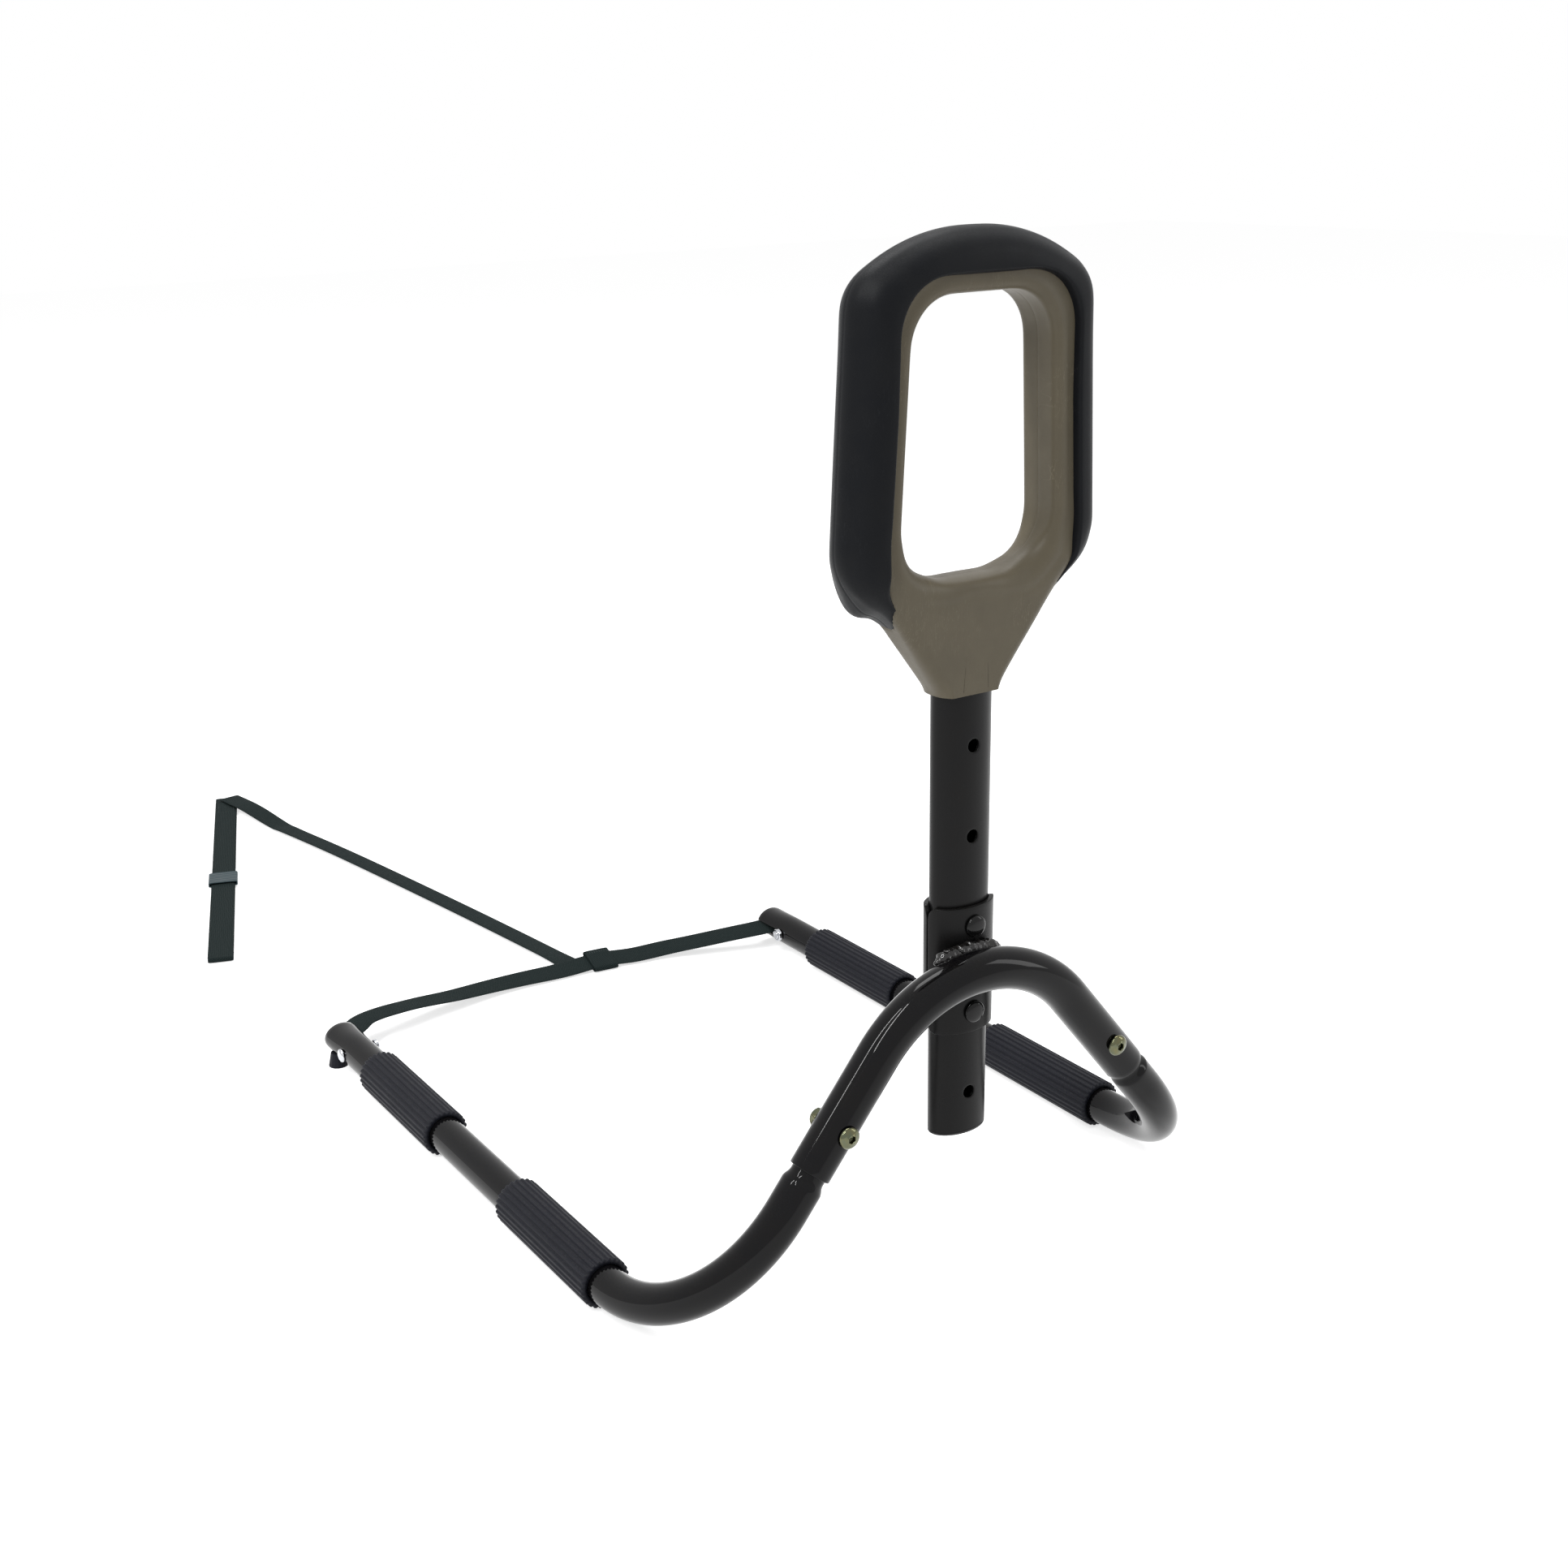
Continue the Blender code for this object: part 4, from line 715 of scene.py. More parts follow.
def make_plug():
    """End plug: a thin rim with a rounded edge, its sunk face and a spigot, as one oval profile."""
    profile = np.array([(0.0, -0.0010), (0.55, -0.0010), (0.80, -0.0012), (0.86, -PLUG_LIP + 0.0001),
                        (0.90, -PLUG_LIP), (0.955, -PLUG_LIP), (0.985, -PLUG_LIP + 0.0002),
                        (0.997, -PLUG_LIP + 0.0006), (0.997, -0.0002), (0.985, 0.0), (0.88, 0.0),
                        (0.88, 0.010), (0.84, 0.012), (0.0, 0.012)])
    ring = circle(64)
    x = POST_X + profile[:, :1] * ring[None, :, 0] * POST_W / 2
    y = profile[:, :1] * ring[None, :, 1] * POST_D / 2
    z = np.broadcast_to(POST_BOTTOM - GAP + profile[:, 1:], x.shape)
    points = np.stack([x, y, z], -1)
    piece("post_end_plug", [grid(points, False, True)], CAP, "handle_post", ["post_plug"])


# sleeve
def make_shell(front):
    """Half sleeve: the post's oval grown by its gap over (side, height), with corners cut round."""
    a = POST_W / 2 + GAP + SHELL_T / 2
    b = POST_D / 2 + GAP + SHELL_T / 2
    u = np.linspace(-1, 1, 61)[None]
    v = np.linspace(-1, 1, 33)[:, None]
    angle = math.pi / 2 * 0.985 * np.sign(u) * abs(u) ** 0.9
    x = a * np.sin(angle)
    y = -b * np.cos(angle)
    far = (1 - abs(u)) * 1.1 * math.hypot(a, b)
    d = np.clip(far / SHELL_CORNER, 0, 1)
    trim = SHELL_CORNER * (1 - np.sqrt(1 - (1 - d) ** 2))
    z = (SHELL_TOP + SHELL_BOTTOM) / 2 + v * ((SHELL_TOP - SHELL_BOTTOM) / 2 - trim)
    points = np.stack(np.broadcast_arrays(POST_X + x, y if front else -y, z), -1)
    name = "front" if front else "back"
    shell = piece(f"shell_{name}", [grid(points)], SATIN, "frame", [f"sleeve_{name}"])
    wall = shell.modifiers.new("wall", "SOLIDIFY")
    wall.thickness = SHELL_T
    wall.offset = 0
    edge = shell.modifiers.new("edge", "BEVEL")
    edge.width = 0.0007
    edge.segments = 3
    edge.angle_limit = math.radians(50)


def make_weld():
    """Bead whose radius ripples along its length, laid in the groove between the arch and the front shell."""

    t = np.linspace(-1, 1, 160)
    x = POST_X - WELD_SIDE + WELD_HALF * t
    ripple = 0.00028 * np.abs(np.sin(t * 34)) + 0.00018 * np.sin(t * 9.0 + 1)
    taper = np.sqrt(np.clip(1 - t ** 8, 0, 1))
    path = np.stack([x, ARCH_Y + 0.0095 + 0.0002 * np.sin(t * 17),
                     ARC_Z + np.sqrt(APEX_R ** 2 - x ** 2) + ARCH_R * 0.78], -1)
    radii = (0.0040 + ripple) * (0.55 + 0.45 * np.clip((1 - abs(t)) * 4, 0, 1)) * taper
    turn = np.arange(28) * 2 * math.pi / 28
    along = t[:, None]
    lumps = (1 + 0.085 * np.sin(along * 23 + 1.4 * np.sin(turn)) + 0.045 * np.sin(along * 41 + 2 * turn)
             + 0.022 * np.sin(along * 67 - 3 * turn))
    offsets = circle(28)[None] * (radii[:, None] * lumps)[..., None]
    points = sweep(path, offsets, np.array([0, 1.0, 0]))
    piece("weld_seam", [grid(points, False, True)], WELD, "frame", ["weld_bead"])


# fasteners
def dome(radius, low, high, steps=8):
    """Rows (r, h) of a rounded head from the side of its edge up to near its middle."""
    a = np.linspace(0, math.pi / 2, steps)
    return np.stack([radius * np.cos(a) ** 0.85, low + (high - low) * np.sin(a)], -1)


NUT_ROWS = [(NUT_R * 0.90, 0), (NUT_R, 0.0005), (NUT_R, NUT_H - 0.0014), (NUT_R * 0.90, NUT_H - 0.0009),
            (NUT_R * 0.72, NUT_H - 0.0008), (NUT_R * 0.70, NUT_H - 0.0003), (NUT_R * 0.64, NUT_H)]


def make_screw(kind, name, rows, count, seat, way, look, hexes=None):
    """Screw as one turned profile (r, h) from the middle of its head to the middle of its end."""
    points = lathe(rows, count, seat, way, hexes)
    piece(f"{kind}_screw_{name}", [grid(points, False, True)], look, "frame", [f"{kind}_bolt_{name}"], 40)


def make_nut(kind, name, seat, first, last, look, hollow):
    """Nut as one turned profile (r, h): its bore or the bolt first, then its own rows, six-sided at the second
    and third, with chamfered corners and a collar, and its bore or the bolt's threaded end last."""
    rows = first + NUT_ROWS + last
    hexes = [i - len(first) in (1, 2) for i in range(len(rows))]
    points = lathe(rows, 48, seat, (0, 1, 0), hexes)
    piece(f"{kind}_lock_nut_{name}", [grid(points, hollow, True)], look, "frame",
          [f"{kind}_nut_{name}"], 35)


def make_joint_fasteners(side, name):
    """Round-headed screw with a six-sided socket in front of the limb, and a nut behind it."""
    axis = on_limb(side, JOINT_BOLT_S)[0]
    head = dome(JOINT_HEAD_R, 0.0009, JOINT_HEAD_H)
    head = head[head[:, 0] > SOCKET_R + 0.0005]
    floor = JOINT_HEAD_H - SOCKET_DEPTH
    rows = [(0.0, floor - 0.0004), (SOCKET_R * 0.8, floor), (SOCKET_R, floor + 0.0001),
            (SOCKET_R, JOINT_HEAD_H - 0.0004), (SOCKET_R + 0.0002, JOINT_HEAD_H - 0.0001),
            (SOCKET_R + 0.0005, JOINT_HEAD_H)]
    hexes = [False, True, True, True, True, False]
    rest = [tuple(p) for p in head[::-1]] + [
        (JOINT_HEAD_R, 0.0005), (JOINT_HEAD_R - 0.0002, 0.0001), (JOINT_HEAD_R - 0.0008, 0.0),
        (BOLT_R, 0.0), (BOLT_R, -0.030), (BOLT_R - 0.0006, -0.0308), (0.0, -0.0308)]
    make_screw("joint", name, rows + rest, 48, axis - (0, ARCH_R + GAP, 0), (0, -1, 0), ZINC,
               hexes + [False] * len(rest))
    make_nut("joint", name, axis + (0, ARCH_R + GAP, 0), [(BOLT_R + 0.0001, 0)],
             [(BOLT_R + 0.0003, NUT_H), (BOLT_R + 0.0001, NUT_H - 0.0003)], ZINC, True)


def make_height_fasteners():
    """Low domed heads in front of the sleeve, as turned profiles (r, h), and their nuts behind it."""
    out = POST_D / 2 + GAP + SHELL_T + GAP
    head = dome(HEIGHT_HEAD_R, 0.0007, HEIGHT_HEAD_H, 10)
    rows = [(0.0, HEIGHT_HEAD_H)] + [tuple(p) for p in head[::-1][1:]] + [
        (HEIGHT_HEAD_R, 0.0003), (HEIGHT_HEAD_R - 0.0003, 0), (BOLT_R, 0), (BOLT_R, -SHELL_T), (0, -SHELL_T)]
    thread = [(BOLT_R - 0.0003 * (i % 2), NUT_H + 0.0002 + 0.00025 * i) for i in range(1, 5)]
    for k, name in zip(HEIGHT_BOLT_HOLES, ("lower", "upper")):
        make_screw("height", name, rows, 48, (POST_X, -out, HOLE_Z[k]), (0, -1, 0), BLACK_STEEL)
        make_nut("height", name, (POST_X, out, HOLE_Z[k]), [(0, -SHELL_T), (BOLT_R, -SHELL_T), (BOLT_R, 0)],
                 [(BOLT_R + 0.0002, NUT_H), (BOLT_R, NUT_H + 0.0002), *thread,
                  (BOLT_R - 0.0005, NUT_H + 0.0015), (0, NUT_H + 0.0015)], BLACK_STEEL, False)


def make_leg_end(side, name):
    """Chrome screw through the flattened end, and its round nut on the inner side."""
    squash = float(smoothstep(STRAP_BOLT_Y, LEG_END_Y - END_SQUASH, LEG_END_Y))
    reach = LEG_R + (LEG_R - END_HALF_H) * squash + GAP
    head = dome(STRAP_HEAD_R, 0.0005, STRAP_HEAD_H, 8)
    rows = [(0.0, STRAP_HEAD_H)] + [tuple(p) for p in head[::-1][1:]] + [
        (STRAP_HEAD_R, 0.0002), (STRAP_HEAD_R - 0.0003, 0), (BOLT_R, 0), (BOLT_R, -2 * reach - 0.0030),
        (BOLT_R - 0.0005, -2 * reach - 0.0035), (0, -2 * reach - 0.0035)]
    seat = (side * (LEG_X + reach), STRAP_BOLT_Y, LEG_Z)
    make_screw("strap", name, rows, 40, seat, (side, 0, 0), CHROME)
    r = STRAP_HEAD_R
    ring = [(BOLT_R + GAP, 0), (r - 0.0004, 0), (r, 0.0004), (r, 0.0024), (r - 0.0004, 0.0028),
            (BOLT_R + GAP, 0.0028)]
    points = lathe(ring, 40, (side * (LEG_X - reach), STRAP_BOLT_Y, LEG_Z), (-side, 0, 0))
    piece(f"strap_lock_nut_{name}", [grid(points, True, True)], CHROME, "frame",
          [f"strap_nut_{name}"], 40)


make_arch()
for side_name, side in SIDES.items():
    make_leg(side, side_name)
    for place in GRIP_STARTS:
        make_leg_grip(side, side_name, place)
    make_joint_fasteners(side, side_name)
    make_leg_end(side, side_name)
make_post()
make_plug()
make_shell(True)
make_shell(False)
make_weld()
make_height_fasteners()


# handle
def rounded(corners, count):
    """Closed outline through corners (x, z, radius) with arcs, evenly spaced."""
    fine = []
    total = len(corners)
    for i, (x, z, radius) in enumerate(corners):
        here = np.array([x, z])
        back = unit(np.array(corners[i - 1][:2]) - here)
        ahead = unit(np.array(corners[(i + 1) % total][:2]) - here)
        turn = math.pi - math.acos(np.clip(back @ ahead, -1, 1))
        if radius <= 0 or turn < 0.02:
            fine.append(here[None])
            continue
        reach = radius * math.tan(turn / 2)
        centre = here + unit(back + ahead) * radius / math.cos(turn / 2)
        start = here + back * reach - centre
        way = 1 if back[0] * ahead[1] - back[1] * ahead[0] < 0 else -1
        a = way * turn * np.linspace(0, 1, 24)
        fine.append(centre + np.stack([start[0] * np.cos(a) - start[1] * np.sin(a),
                                       start[0] * np.sin(a) + start[1] * np.cos(a)], -1))
    return spaced(np.concatenate(fine), count)


def spaced(points, count):
    """Closed outline with its points evenly spaced, starting at its highest middle point and going to +x."""
    closed = np.vstack([points, points[:1]])
    run = np.concatenate([[0], np.cumsum(np.linalg.norm(np.diff(closed, axis=0), axis=1))])
    even = np.linspace(0, run[-1], count, endpoint=False)
    out = np.stack([np.interp(even, run, closed[:, k]) for k in (0, 1)], -1)
    top = np.argmin(abs(out[:, 0]) - (out[:, 1] > out[:, 1].mean()) * 1.0)
    out = np.roll(out, -top, axis=0)
    return out if out[count // 8, 0] > 0 else np.roll(out[::-1], 1, axis=0)


def smoothed(points, width):
    """Periodic moving average with a bell-shaped weight, in samples."""
    reach = int(3 * width)
    weights = np.exp(-0.5 * (np.arange(-reach, reach + 1) / width) ** 2)
    weights /= weights.sum()
    return sum(w * np.roll(points, k, axis=0) for w, k in zip(weights, range(-reach, reach + 1)))


def mirrored(right):
    """The right half's corners and then the same ones at -x, in turn, as one closed outline."""
    return right + [(-x, z, r) for x, z, r in reversed(right)]


FINE = 2400
OUTER = smoothed(rounded(mirrored([
    (NECK_W / 2 - 0.004, NECK_Z - 0.030, 0.0), (NECK_W / 2, NECK_Z, 0.006), (FUNNEL_W / 2, FUNNEL_Z, 0.030),
    (HIP_W / 2, HIP_Z, 0.0262), (SHOULDER_W / 2, SHOULDER_Z, 0.0240), (0.0334, HANDLE_TOP, 0.1079)]), FINE), 12)
OPENING = smoothed(rounded(mirrored([
    (0.0200, OPENING_BOTTOM, 0.030), (OPENING_W_LOW / 2, OPENING_BOTTOM + 0.0120, 0.0268),
    (OPENING_W_TOP / 2, OPENING_TOP, 0.0257)]), FINE), 14)
LINER = rounded(mirrored([
    (0.0530, 0.3500, 0.0), (0.0590, 0.4000, 0.060), (0.0600, 0.4280, 0.040), (0.0562, 0.4920, 0.100),
    (0.0548, 0.5555, 0.028)]), 600) + (0.0013, 0.0)


def at_height(outline, z):
    """Index of an outline's point at a height, on its right half."""
    return int(np.argmin(abs(outline[:FINE // 2, 1] - z)))


def matched(count):
    """Pairs the outer outline with the opening: both are run through landmarks at the same share of the way."""
    pairs = ((0.556, 0.536), (0.500, 0.500), (0.436, 0.436), (0.400, 0.4125), (0.350, 0.4065))
    marks = np.array([(0, 0)] + [(at_height(OUTER, a), at_height(OPENING, b)) for a, b in pairs]
                     + [(FINE / 2, FINE / 2)], float)
    share = marks.sum(1) / FINE
    t = np.linspace(0, 1, count // 2 + 1)
    fields = []
    for column in (0, 1):
        index = np.interp(t, share, marks[:, column])
        whole = np.concatenate([index, FINE - index[-2:0:-1]])
        wave = whole - np.arange(count) * FINE / count
        index = smoothed(wave[:, None], 6)[:, 0] + np.arange(count) * FINE / count
        fields.append(index % FINE)
    return fields


def sample(table, index):
    """Value of a closed table at a fractional index."""
    low = np.floor(index).astype(int)
    part = (index - low).reshape(index.shape + (1,) * (table.ndim - 1))
    count = len(table)
    return table[low % count] * (1 - part) + table[(low + 1) % count] * part


RING_COLS = 360
outer_index, opening_index = matched(RING_COLS)
P_OUT = sample(OUTER, outer_index)
P_IN = sample(OPENING, opening_index)


def outward(outline, index):
    """Normal of an outline that points away from its inside; outlines run to +x from their top."""
    ahead = sample(outline, index + 4) - sample(outline, index - 4)
    return unit(np.stack([-ahead[:, 1], ahead[:, 0]], -1))


N_OUT = outward(OUTER, outer_index)
N_IN = outward(OPENING, opening_index)
WIDTH = np.linalg.norm(P_OUT - P_IN, axis=1)
LOWNESS = 1 - smoothstep(P_IN[:, 1], 0.4100, 0.4300)
FUNNEL_SHARE = 1 - smoothstep(P_OUT[:, 1], 0.3950, 0.4200)
NECK_SHARE = 1 - smoothstep(P_OUT[:, 1], 0.3400, 0.3850)
R_IN = 0.0048 + 0.0060 * LOWNESS
R_OUT = 0.0141 - 0.0060 * FUNNEL_SHARE + 0.0048 * NECK_SHARE


def stand(t, u, y):
    """Place on the handle: across the ring from opening to outline along a curve that leaves both square,
    at half-depth share y, with the neck's taper, the low hips at the back and the forward lean."""
    width = sample(WIDTH, t)[..., None]
    pull = np.minimum(width, 0.032)
    k = np.clip(u[..., None] / width, 0, 1)
    h00, h10 = 2 * k ** 3 - 3 * k ** 2 + 1, k ** 3 - 2 * k ** 2 + k
    h01, h11 = -2 * k ** 3 + 3 * k ** 2, k ** 3 - k ** 2
    flat = (h00 * sample(P_IN, t) + h10 * sample(N_IN, t) * pull
            + h01 * sample(P_OUT, t) + h11 * sample(N_OUT, t) * pull)
    x, z = flat[..., 0], flat[..., 1]
    thin = np.where(z < FUNNEL_Z, (FUNNEL_Z - np.maximum(z, NECK_Z)) / (FUNNEL_Z - NECK_Z), 0)
    depth = y * (1 + thin * (NECK_D / HANDLE_DEPTH - 1))
    outer = smoothstep(abs(x), 0.0440, HIP_W / 2 - 0.016) * (1 - 0.85 * smoothstep(abs(x), 0.0590, HIP_W / 2))
    low = 1 - smoothstep(z, HIP_Z + 0.008, HIP_Z + 0.060)
    z = z - HIP_DROP * outer * low * (0.5 + depth / HANDLE_DEPTH)
    return np.stack([x + POST_X, depth - LEAN * np.maximum(z - LEAN_Z, 0), z], -1)


def grid_normals(points, wrap_rows, wrap_cols):
    """Unit normals of a grid by differences, with closed directions wrapped round."""
    def step(axis, wrap):
        """Difference of the two neighbours along one axis of the grid."""
        if wrap:
            return np.roll(points, -1, axis) - np.roll(points, 1, axis)
        return np.gradient(points, axis=axis)
    return unit(np.cross(step(0, wrap_rows), step(1, wrap_cols)))


def inside_liner(x, z):
    """Whether points lie inside the liner's outline, by counting the edges to their right."""
    a, b = LINER, np.roll(LINER, -1, 0)
    spans = (a[:, 1] > z[..., None]) != (b[:, 1] > z[..., None])
    rise = np.where(b[:, 1] == a[:, 1], 1e-9, b[:, 1] - a[:, 1])
    cross = a[:, 0] + (z[..., None] - a[:, 1]) * (b[:, 0] - a[:, 0]) / rise
    return (spans & (x[..., None] < cross)).sum(-1) % 2 == 1


def liner_edge():
    """Width of the liner on the front face for every column: where the column leaves the liner's outline."""
    u = np.linspace(0.004, 0.060, 449)
    t = np.broadcast_to(np.arange(RING_COLS, dtype=float)[:, None], (RING_COLS, len(u)))
    spot = stand(t, np.broadcast_to(u, t.shape), np.full(t.shape, -HANDLE_DEPTH / 2))
    inside = inside_liner(spot[..., 0] - POST_X, spot[..., 2])
    last = np.where(inside.any(1), len(u) - 1 - np.argmax(inside[:, ::-1], axis=1), 0)
    return smoothed(np.minimum(u[last], WIDTH - 0.45 * R_OUT)[:, None], 3)[:, 0]


HALF = HANDLE_DEPTH / 2
U_EDGE = liner_edge()
REACH = (HALF - R_OUT) + R_OUT * math.pi / 2 + (WIDTH - R_OUT - U_EDGE)


def on_section(t, q):
    """(u, y) at section length q from the middle of the outer wall: wall, rounded edge, then face;
    q < 0 is the front."""
    radius, width = sample(R_OUT, t), sample(WIDTH, t)
    wall = HALF - radius
    past = np.clip(abs(q) - wall, 0, None)
    phi = np.clip(past / radius, 0, math.pi / 2)
    face = np.clip(past - radius * math.pi / 2, 0, None)
    u = width - radius + radius * np.cos(phi) - face
    y = np.minimum(abs(q), wall) + radius * np.sin(phi)
    return u, np.sign(q) * y


TIP_Y = np.array([-0.0157, -0.0110, -0.0076, -0.0030, 0.0, 0.0080, 0.0157])
TIP_Z = np.array([0.3995, 0.3930, 0.3870, 0.3822, 0.3810, 0.3828, 0.3860])


def tip_columns(shares):
    """Column at which the grip ends on its right side for each share of the section's reach, where its
    height falls to that of the tip's edge at the same depth."""
    t = np.linspace(60, 150, 721)
    ends = []
    for share in shares:
        u, y = on_section(t, share * sample(REACH, t))
        spot = stand(t, u, y)
        above = spot[:, 2] - np.interp(spot[:, 1] + LEAN * np.maximum(spot[:, 2] - LEAN_Z, 0), TIP_Y, TIP_Z)
        ends.append(t[np.argmax(above < 0)])
    return np.array(ends)


SHARES = np.linspace(-1, 1, 81)
raw_ends = tip_columns(SHARES)
bell = np.exp(-0.5 * (np.arange(-6, 7) / 2.5) ** 2)
TIP_T = np.convolve(np.pad(raw_ends, 6, mode="edge"), bell / bell.sum(), mode="valid")


def edge_distance(t, q):
    """Distance inside the grip's edge: to its front or back edge, or to a tip, whichever is nearer."""
    reach = sample(REACH, t)
    folded = np.where(t > RING_COLS / 2, RING_COLS - t, t)
    end = np.interp(np.clip(q / reach, -1, 1), SHARES, TIP_T)
    return np.minimum(reach - abs(q), (end - folded) * 0.0013)


SWELL = 0.0042


def make_grip():
    """Soft cover: rows across the section by share b of its reach, columns from tip to tip. It comes up out
    of the core in a quarter ellipse of the distance e from its edge, and swells on the faces:
    offset = -1.4 mm + (1.4 mm + SWELL * face) * sqrt(1 - (1 - min(e / 2.2 mm, 1))^2)."""
    lip = 1 - np.cos(np.linspace(0, math.pi / 2, 9))
    b = np.concatenate([-1 + 0.07 * lip, np.linspace(-0.93, 0.93, 70)[1:-1], 1 - 0.07 * lip[::-1]])
    a = np.concatenate([0.010 * lip, np.linspace(0.010, 0.990, 300)[1:-1], 1 - 0.010 * lip[::-1]])
    end = np.interp(b, SHARES, TIP_T)[:, None]
    t = (-end + 2 * end * a[None]) % RING_COLS
    q = b[:, None] * sample(REACH, t)
    u, y = on_section(t, q)
    base = stand(t, u, y)
    normals = grid_normals(base, False, False)
    if normals[len(b) // 2, len(a) // 2, 2] < 0:
        normals = -normals
    e = np.clip(edge_distance(t, q) / 0.0022, 0, 1)
    rise = np.sqrt(np.clip(1 - (1 - e) ** 2, 0, 1))
    seam = 0.00022 * np.exp(-((q - 0.0010) / 0.00045) ** 2)
    face = smoothstep(abs(q), 0.0080, 0.0270)
    outer = base + normals * (-0.0014 + (0.0014 + SWELL * face) * rise - seam)[..., None]
    inner = base - normals * (0.0016 + 0.0012 * rise)[..., None]
    top, bottom = [outer[0], inner[0]], [outer[-1], inner[-1]]
    parts = [grid(outer), grid(inner), grid(np.stack(top)), grid(np.stack(bottom)),
             grid(np.stack([outer[:, 0], inner[:, 0]])), grid(np.stack([outer[:, -1], inner[:, -1]]))]
    piece("soft_grip_cover", parts, GRIP_BLACK, "handle_post", ["handle_grip"])


def section_rows():
    """Rows (u, y, q) of the closed section for every column: inner wall, rounded edges, faces, outer wall."""
    columns = np.ones(RING_COLS)
    rows = []
    for share in (0.0, 0.010, 0.022, 0.04, 0.25, 0.5, 0.75, 0.98):
        rows.append((0 * columns, (HALF - R_IN) * share, columns))
    for angle in np.linspace(0, math.pi / 2, 11):
        rows.append((R_IN * (1 - math.cos(angle)), HALF - R_IN * (1 - math.sin(angle)), columns))
    flat = WIDTH - R_IN - R_OUT
    for share in np.linspace(0, 1, 40)[1:-1]:
        face = flat * (1 - share)
        rows.append((R_IN + flat * share, HALF * columns, HALF - R_OUT + R_OUT * math.pi / 2 + face))
    for angle in np.linspace(math.pi / 2, 0, 13):
        rows.append((WIDTH - R_OUT * (1 - math.cos(angle)), HALF - R_OUT * (1 - math.sin(angle)),
                     HALF - R_OUT + R_OUT * angle))
    for share in (0.5, 0.0):
        rows.append((WIDTH, (HALF - R_OUT) * share, (HALF - R_OUT) * share))
    u, y, q = (np.array([np.broadcast_to(row[k], (RING_COLS,)) for row in rows]) for k in range(3))
    back = slice(-2, 0, -1)
    return np.concatenate([u, u[back]]), np.concatenate([-y, y[back]]), np.concatenate([-q, q[back]])


def make_core():
    """Closed ring and funnel, let in under the grip, with a fine parting groove round its inner wall."""
    u, y, q = section_rows()
    t = np.broadcast_to(np.arange(RING_COLS, dtype=float), u.shape)
    points = stand(t, u, y)
    normals = grid_normals(points, True, True)
    spot = np.unravel_index(np.argmax(points[..., 2]), points.shape[:2])
    if normals[spot][2] < 0:
        normals = -normals
    e = edge_distance(t, q)
    under = smoothstep(e, 0.0005, 0.0030)
    on_face = smoothstep(u, R_IN + 0.0004, R_IN + 0.0050) * (1 - FUNNEL_SHARE * smoothstep(u, 0.012, 0.018))
    groove = 0.00007 * np.exp(-(y / 0.00025) ** 2) * (u < 0.0004)
    points = points - normals * (0.0034 * under + 0.0004 * on_face + groove)[..., None]
    mesh = mesh_of("core", [grid(points, True, True)])
    bm = bmesh.new()
    bm.from_mesh(mesh)
    geometry = bm.verts[:] + bm.edges[:] + bm.faces[:]
    bmesh.ops.bisect_plane(bm, geom=geometry, dist=1e-6, plane_co=(0, 0, NECK_Z), plane_no=(0, 0, 1),
                           clear_inner=True)
    bmesh.ops.holes_fill(bm, edges=[e for e in bm.edges if e.is_boundary], sides=0)
    bm.to_mesh(mesh)
    bm.free()
    nodes = ["handle_core_front", "handle_core_back"]
    piece("handle_core", mesh, TAUPE, "handle_post", nodes, 50)


make_core()
make_grip()


# straps
def smooth_path(points, spacing):
    """Smooth open path through the points, evenly spaced, and never under the floor."""
    raw = np.asarray(points, float)
    ghost = np.vstack([2 * raw[0] - raw[1], raw, 2 * raw[-1] - raw[-2]])
    t = np.linspace(0, 1, 24, endpoint=False)[:, None]
    fine = []
    for p0, p1, p2, p3 in zip(ghost, ghost[1:], ghost[2:], ghost[3:]):
        fine.append(0.5 * (2 * p1 + (p2 - p0) * t + (2 * p0 - 5 * p1 + 4 * p2 - p3) * t ** 2
                           + (3 * p1 - p0 - 3 * p2 + p3) * t ** 3))
    fine = np.vstack(fine + [raw[-1:]])
    fine[:, 2] = np.maximum(fine[:, 2], ON_FLOOR)
    run = np.concatenate([[0], np.cumsum(np.linalg.norm(np.diff(fine, axis=0), axis=1))])
    wanted = np.linspace(0, run[-1], int(run[-1] / spacing) + 1)
    return np.stack([np.interp(wanted, run, fine[:, k]) for k in range(3)], -1), run[-1]


def strap_section(ribs_at):
    """Flat section with rounded edges; ribs across the strap swell it in turn along its length."""
    a = np.arange(28) * 2 * math.pi / 28
    across = STRAP_W / 2 * np.sign(np.cos(a)) * abs(np.cos(a)) ** 0.35
    up = STRAP_T / 2 * np.sign(np.sin(a)) * abs(np.sin(a)) ** 0.75
    wave = np.sin(ribs_at * 2 * math.pi / RIB_PITCH)
    across = across[None] * (1 + 0.022 * wave[:, None])
    up = up[None] * (0.93 + 0.06 * wave[:, None])
    return np.stack([across, up], -1)


